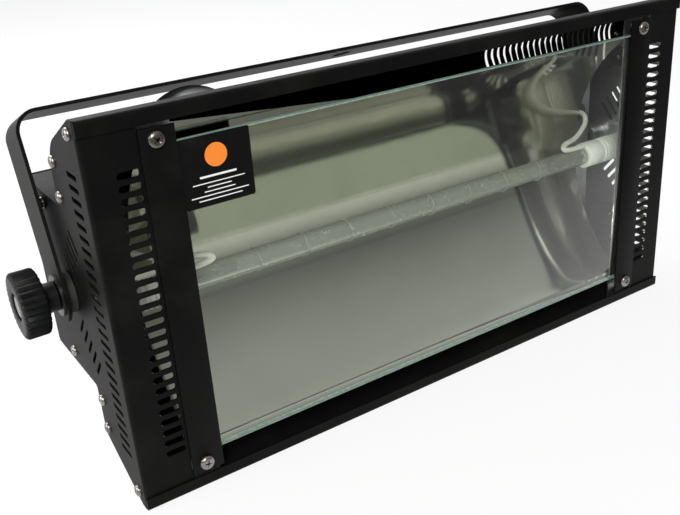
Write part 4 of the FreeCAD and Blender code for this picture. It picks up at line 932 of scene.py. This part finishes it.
def dial(node, body, name):
    """A turned dial with a gripping edge and a pale pointer, and the ring of marks behind it."""
    low, high = [Vector(corner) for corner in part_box(node)]
    centre = Vector(((low.x + high.x) / 2, low.y, (low.z + high.z) / 2))

    def in_groove(vertex):
        """Whether a point of the grip lies in a groove: two points of every four do."""
        across, up = vertex.co.x - centre.x, vertex.co.z - centre.z
        if vertex.co.y <= low.y + grip_start or math.hypot(across, up) <= grip_inside:
            return False
        return round(math.degrees(math.atan2(up, across)) / (360 / dial_sides)) % 4 < 2

    piece = turned(centre, "Y", dial_profile, sides=dial_sides)
    pick(piece, "verts", in_groove)
    bpy.ops.transform.resize(value=(0.94, 1, 0.94), center_override=centre)
    bpy.ops.object.mode_set(mode="OBJECT")
    hand_over(piece, name, body, socket_plastic, "black_plastic", node, smooth=45)
    pointer = block([start + size * MM for start, size in zip(centre, pointer_low)],
                    [start + size * MM for start, size in zip(centre, pointer_high)])
    printed([soften(pointer, 0.1 * MM)], name + "_pointer", body, mark_white, "black_plastic")
    marks = []
    panel_face = Vector(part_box("rear_panel")[1]).y
    for angle in range(-dial_turn, dial_turn + 1, tick_step):
        mark = block((-half_tick, panel_face, tick_inner),
                     (half_tick, panel_face + ink, tick_outer))
        soften(mark, ink / 3, steps=1)
        mark.data.transform(Matrix.Translation((centre.x, 0, centre.z))
                            @ Matrix.Rotation(math.radians(angle), 4, "Y"))
        marks.append(mark)
    printed(marks, name + "_ticks", "housing", mark_white, "black_paint")


dial("rate_knob", "rate_dial", "rate_grip")
dial("intensity_knob", "intensity_dial", "intensity_grip")

# %% [markdown]
# Camera
#
# The photograph was taken from the left, a little above, at about half a metre. The lens and the
# place come from the corners of the casing. Colours are shown plainly, with the Standard view.

# %% Camera
start_clean()
bpy.ops.object.camera_add(location=at(-319.0, -386.2, 206.1),
                          rotation=[math.radians(turn) for turn in (65.86, 3.84, -33.80)])
camera = bpy.context.object
camera.name = "camera"
camera.data.sensor_width = 36.0
camera.data.lens = 46.195
camera.data.clip_start = 0.01
bpy.context.scene.camera = camera
bpy.context.scene.view_settings.view_transform = "Standard"
print("camera at", [round(place, 3) for place in camera.location], "m")

# %% [markdown]
# Light
#
# The photograph has a white studio background and most of the light from the left and behind.
# The side of the casing is grey where that light grazes it, and the front is nearly black. A
# large soft lamp stands at the left and one hangs above and behind. A third one in front shines
# through the glass, so that the white caps and the label's colours come out as bright as they are.

# %% Lamps
def soft_lamp(name, place, aim, size, power, colour):
    """A large soft lamp turned towards a point."""
    start_clean()
    turn = (Vector(aim) - Vector(place)).to_track_quat("-Z", "Y").to_euler()
    bpy.ops.object.light_add(type="AREA", location=place, rotation=turn)
    lamp = bpy.context.object
    lamp.name = name
    lamp.data.shape = "DISK"
    lamp.data.size = size
    lamp.data.energy = power
    lamp.data.color = colour
    print(name, "at", place, "with", power, "W")


soft_lamp("left_lamp", (-1.55, 0.25, 0.55), (0, 0, -0.08), 0.9, 14, (1.0, 0.97, 0.90))
soft_lamp("rear_lamp", (-0.2, 1.3, 1.2), (0, 0, -0.05), 1.2, 26, (0.97, 0.99, 1.0))
soft_lamp("front_lamp", (-0.9, -1.35, 1.0), (0, 0, -0.08), 0.7, 24, (1.0, 0.99, 0.97))

# %% [markdown]
# White studio
#
# What the camera sees behind the object is pure white, and so is what its shiny faces mirror from
# behind and above. The room in front of the object is dim, and the trough reflector and the glass
# mirror that. So the world fades from white to grey with the direction, forward and down. Only its
# dim part lights the matt faces.

# %% World
world = bpy.data.worlds.new("studio")
world.use_nodes = True
bpy.context.scene.world = world
world.node_tree.nodes.clear()


def world_node(kind, settings, inputs):
    """Adds a node to the world, with its settings and the values or links of its sockets."""
    made = world.node_tree.nodes.new(kind)
    for key, value in settings.items():
        setattr(made, key, value)
    for key, value in inputs.items():
        if isinstance(value, bpy.types.NodeSocket):
            world.node_tree.links.new(value, made.inputs[key])
        else:
            made.inputs[key].default_value = value
    return made


path = world_node("ShaderNodeLightPath", {}, {})
with_mirrors = world_node("ShaderNodeMath", {"operation": "ADD"},
                          {0: path.outputs["Is Camera Ray"], 1: path.outputs["Is Glossy Ray"]})
seen = world_node("ShaderNodeMath", {"operation": "ADD", "use_clamp": True},
                  {0: with_mirrors.outputs[0], 1: path.outputs["Is Transmission Ray"]})
direction = world_node("ShaderNodeTexCoord", {}, {})
axes = world_node("ShaderNodeSeparateXYZ", {}, {0: direction.outputs["Generated"]})
dim_low, dim_high = 0.20, 0.42
front = world_node("ShaderNodeMapRange", {},
                   {"Value": axes.outputs["Z"], "From Min": 0.0, "From Max": 0.7,
                    "To Min": dim_low, "To Max": dim_high})
room = world_node("ShaderNodeMapRange", {"interpolation_type": "SMOOTHSTEP"},
                  {"Value": axes.outputs["Y"], "From Min": -0.30, "From Max": 0.15,
                   "To Min": front.outputs[0], "To Max": 1.0})
seen_light = world_node("ShaderNodeBackground", {},
                        {"Color": (1, 1, 1, 1), "Strength": room.outputs[0]})
even_light = world_node("ShaderNodeBackground", {},
                        {"Color": (0.95, 0.98, 1.0, 1), "Strength": front.outputs[0]})
studio = world_node("ShaderNodeMixShader", {}, {0: seen.outputs[0], 1: even_light.outputs[0],
                                                2: seen_light.outputs[0]})
world_node("ShaderNodeOutputWorld", {}, {"Surface": studio.outputs[0]})

# %% [markdown]
# Floor
#
# The object stands on a white sweep whose shadow is very weak. The floor glows white for the
# camera, with a share of plain white paint that takes the shadow. Mirrors see it fade to grey in
# front of the object, where the room begins. That is what keeps the black front black.

# %% Floor
floor_size = 30
grey_until, white_from = -0.36, -0.19
white_glow, grey_glow = 1.0, 0.12


def white_floor():
    """A glowing white floor that still takes a soft shadow."""
    paper = Finish("white_floor")
    relief = paper.bump(paper.noise(300), 0.00005, 0.1)
    matt = paper.node("ShaderNodeBsdfDiffuse", {}, {"Color": (0.9, 0.9, 0.9), "Normal": relief},
                      "BSDF")
    glow, dim = [
        paper.node("ShaderNodeEmission", {}, {"Color": (1.0, 1.0, 1.0), "Strength": strength},
                   "Emission")
        for strength in (white_glow, grey_glow)]
    depth = paper.node("ShaderNodeSeparateXYZ", {}, {0: paper.place}, 1)
    white = paper.level(depth, grey_until, white_from).most(paper.rays("Is Camera Ray"))
    seen = paper.node("ShaderNodeMixShader", {}, {0: white, 1: dim, 2: glow}, "Shader")
    share = paper.rays("Is Diffuse Ray") * 0.7 + 0.15
    mixed = paper.node("ShaderNodeMixShader", {}, {0: share, 1: seen, 2: matt}, "Shader")
    paper.tree.links.new(mixed.socket, paper.out.inputs["Surface"])
    return paper.material


start_clean()
lowest = cad_box[0][2]
bpy.ops.mesh.primitive_plane_add(size=floor_size, location=(0, 0, lowest))
floor = set_place()
floor.name = "floor"
floor.data.name = "floor"
floor.data.materials.append(white_floor())
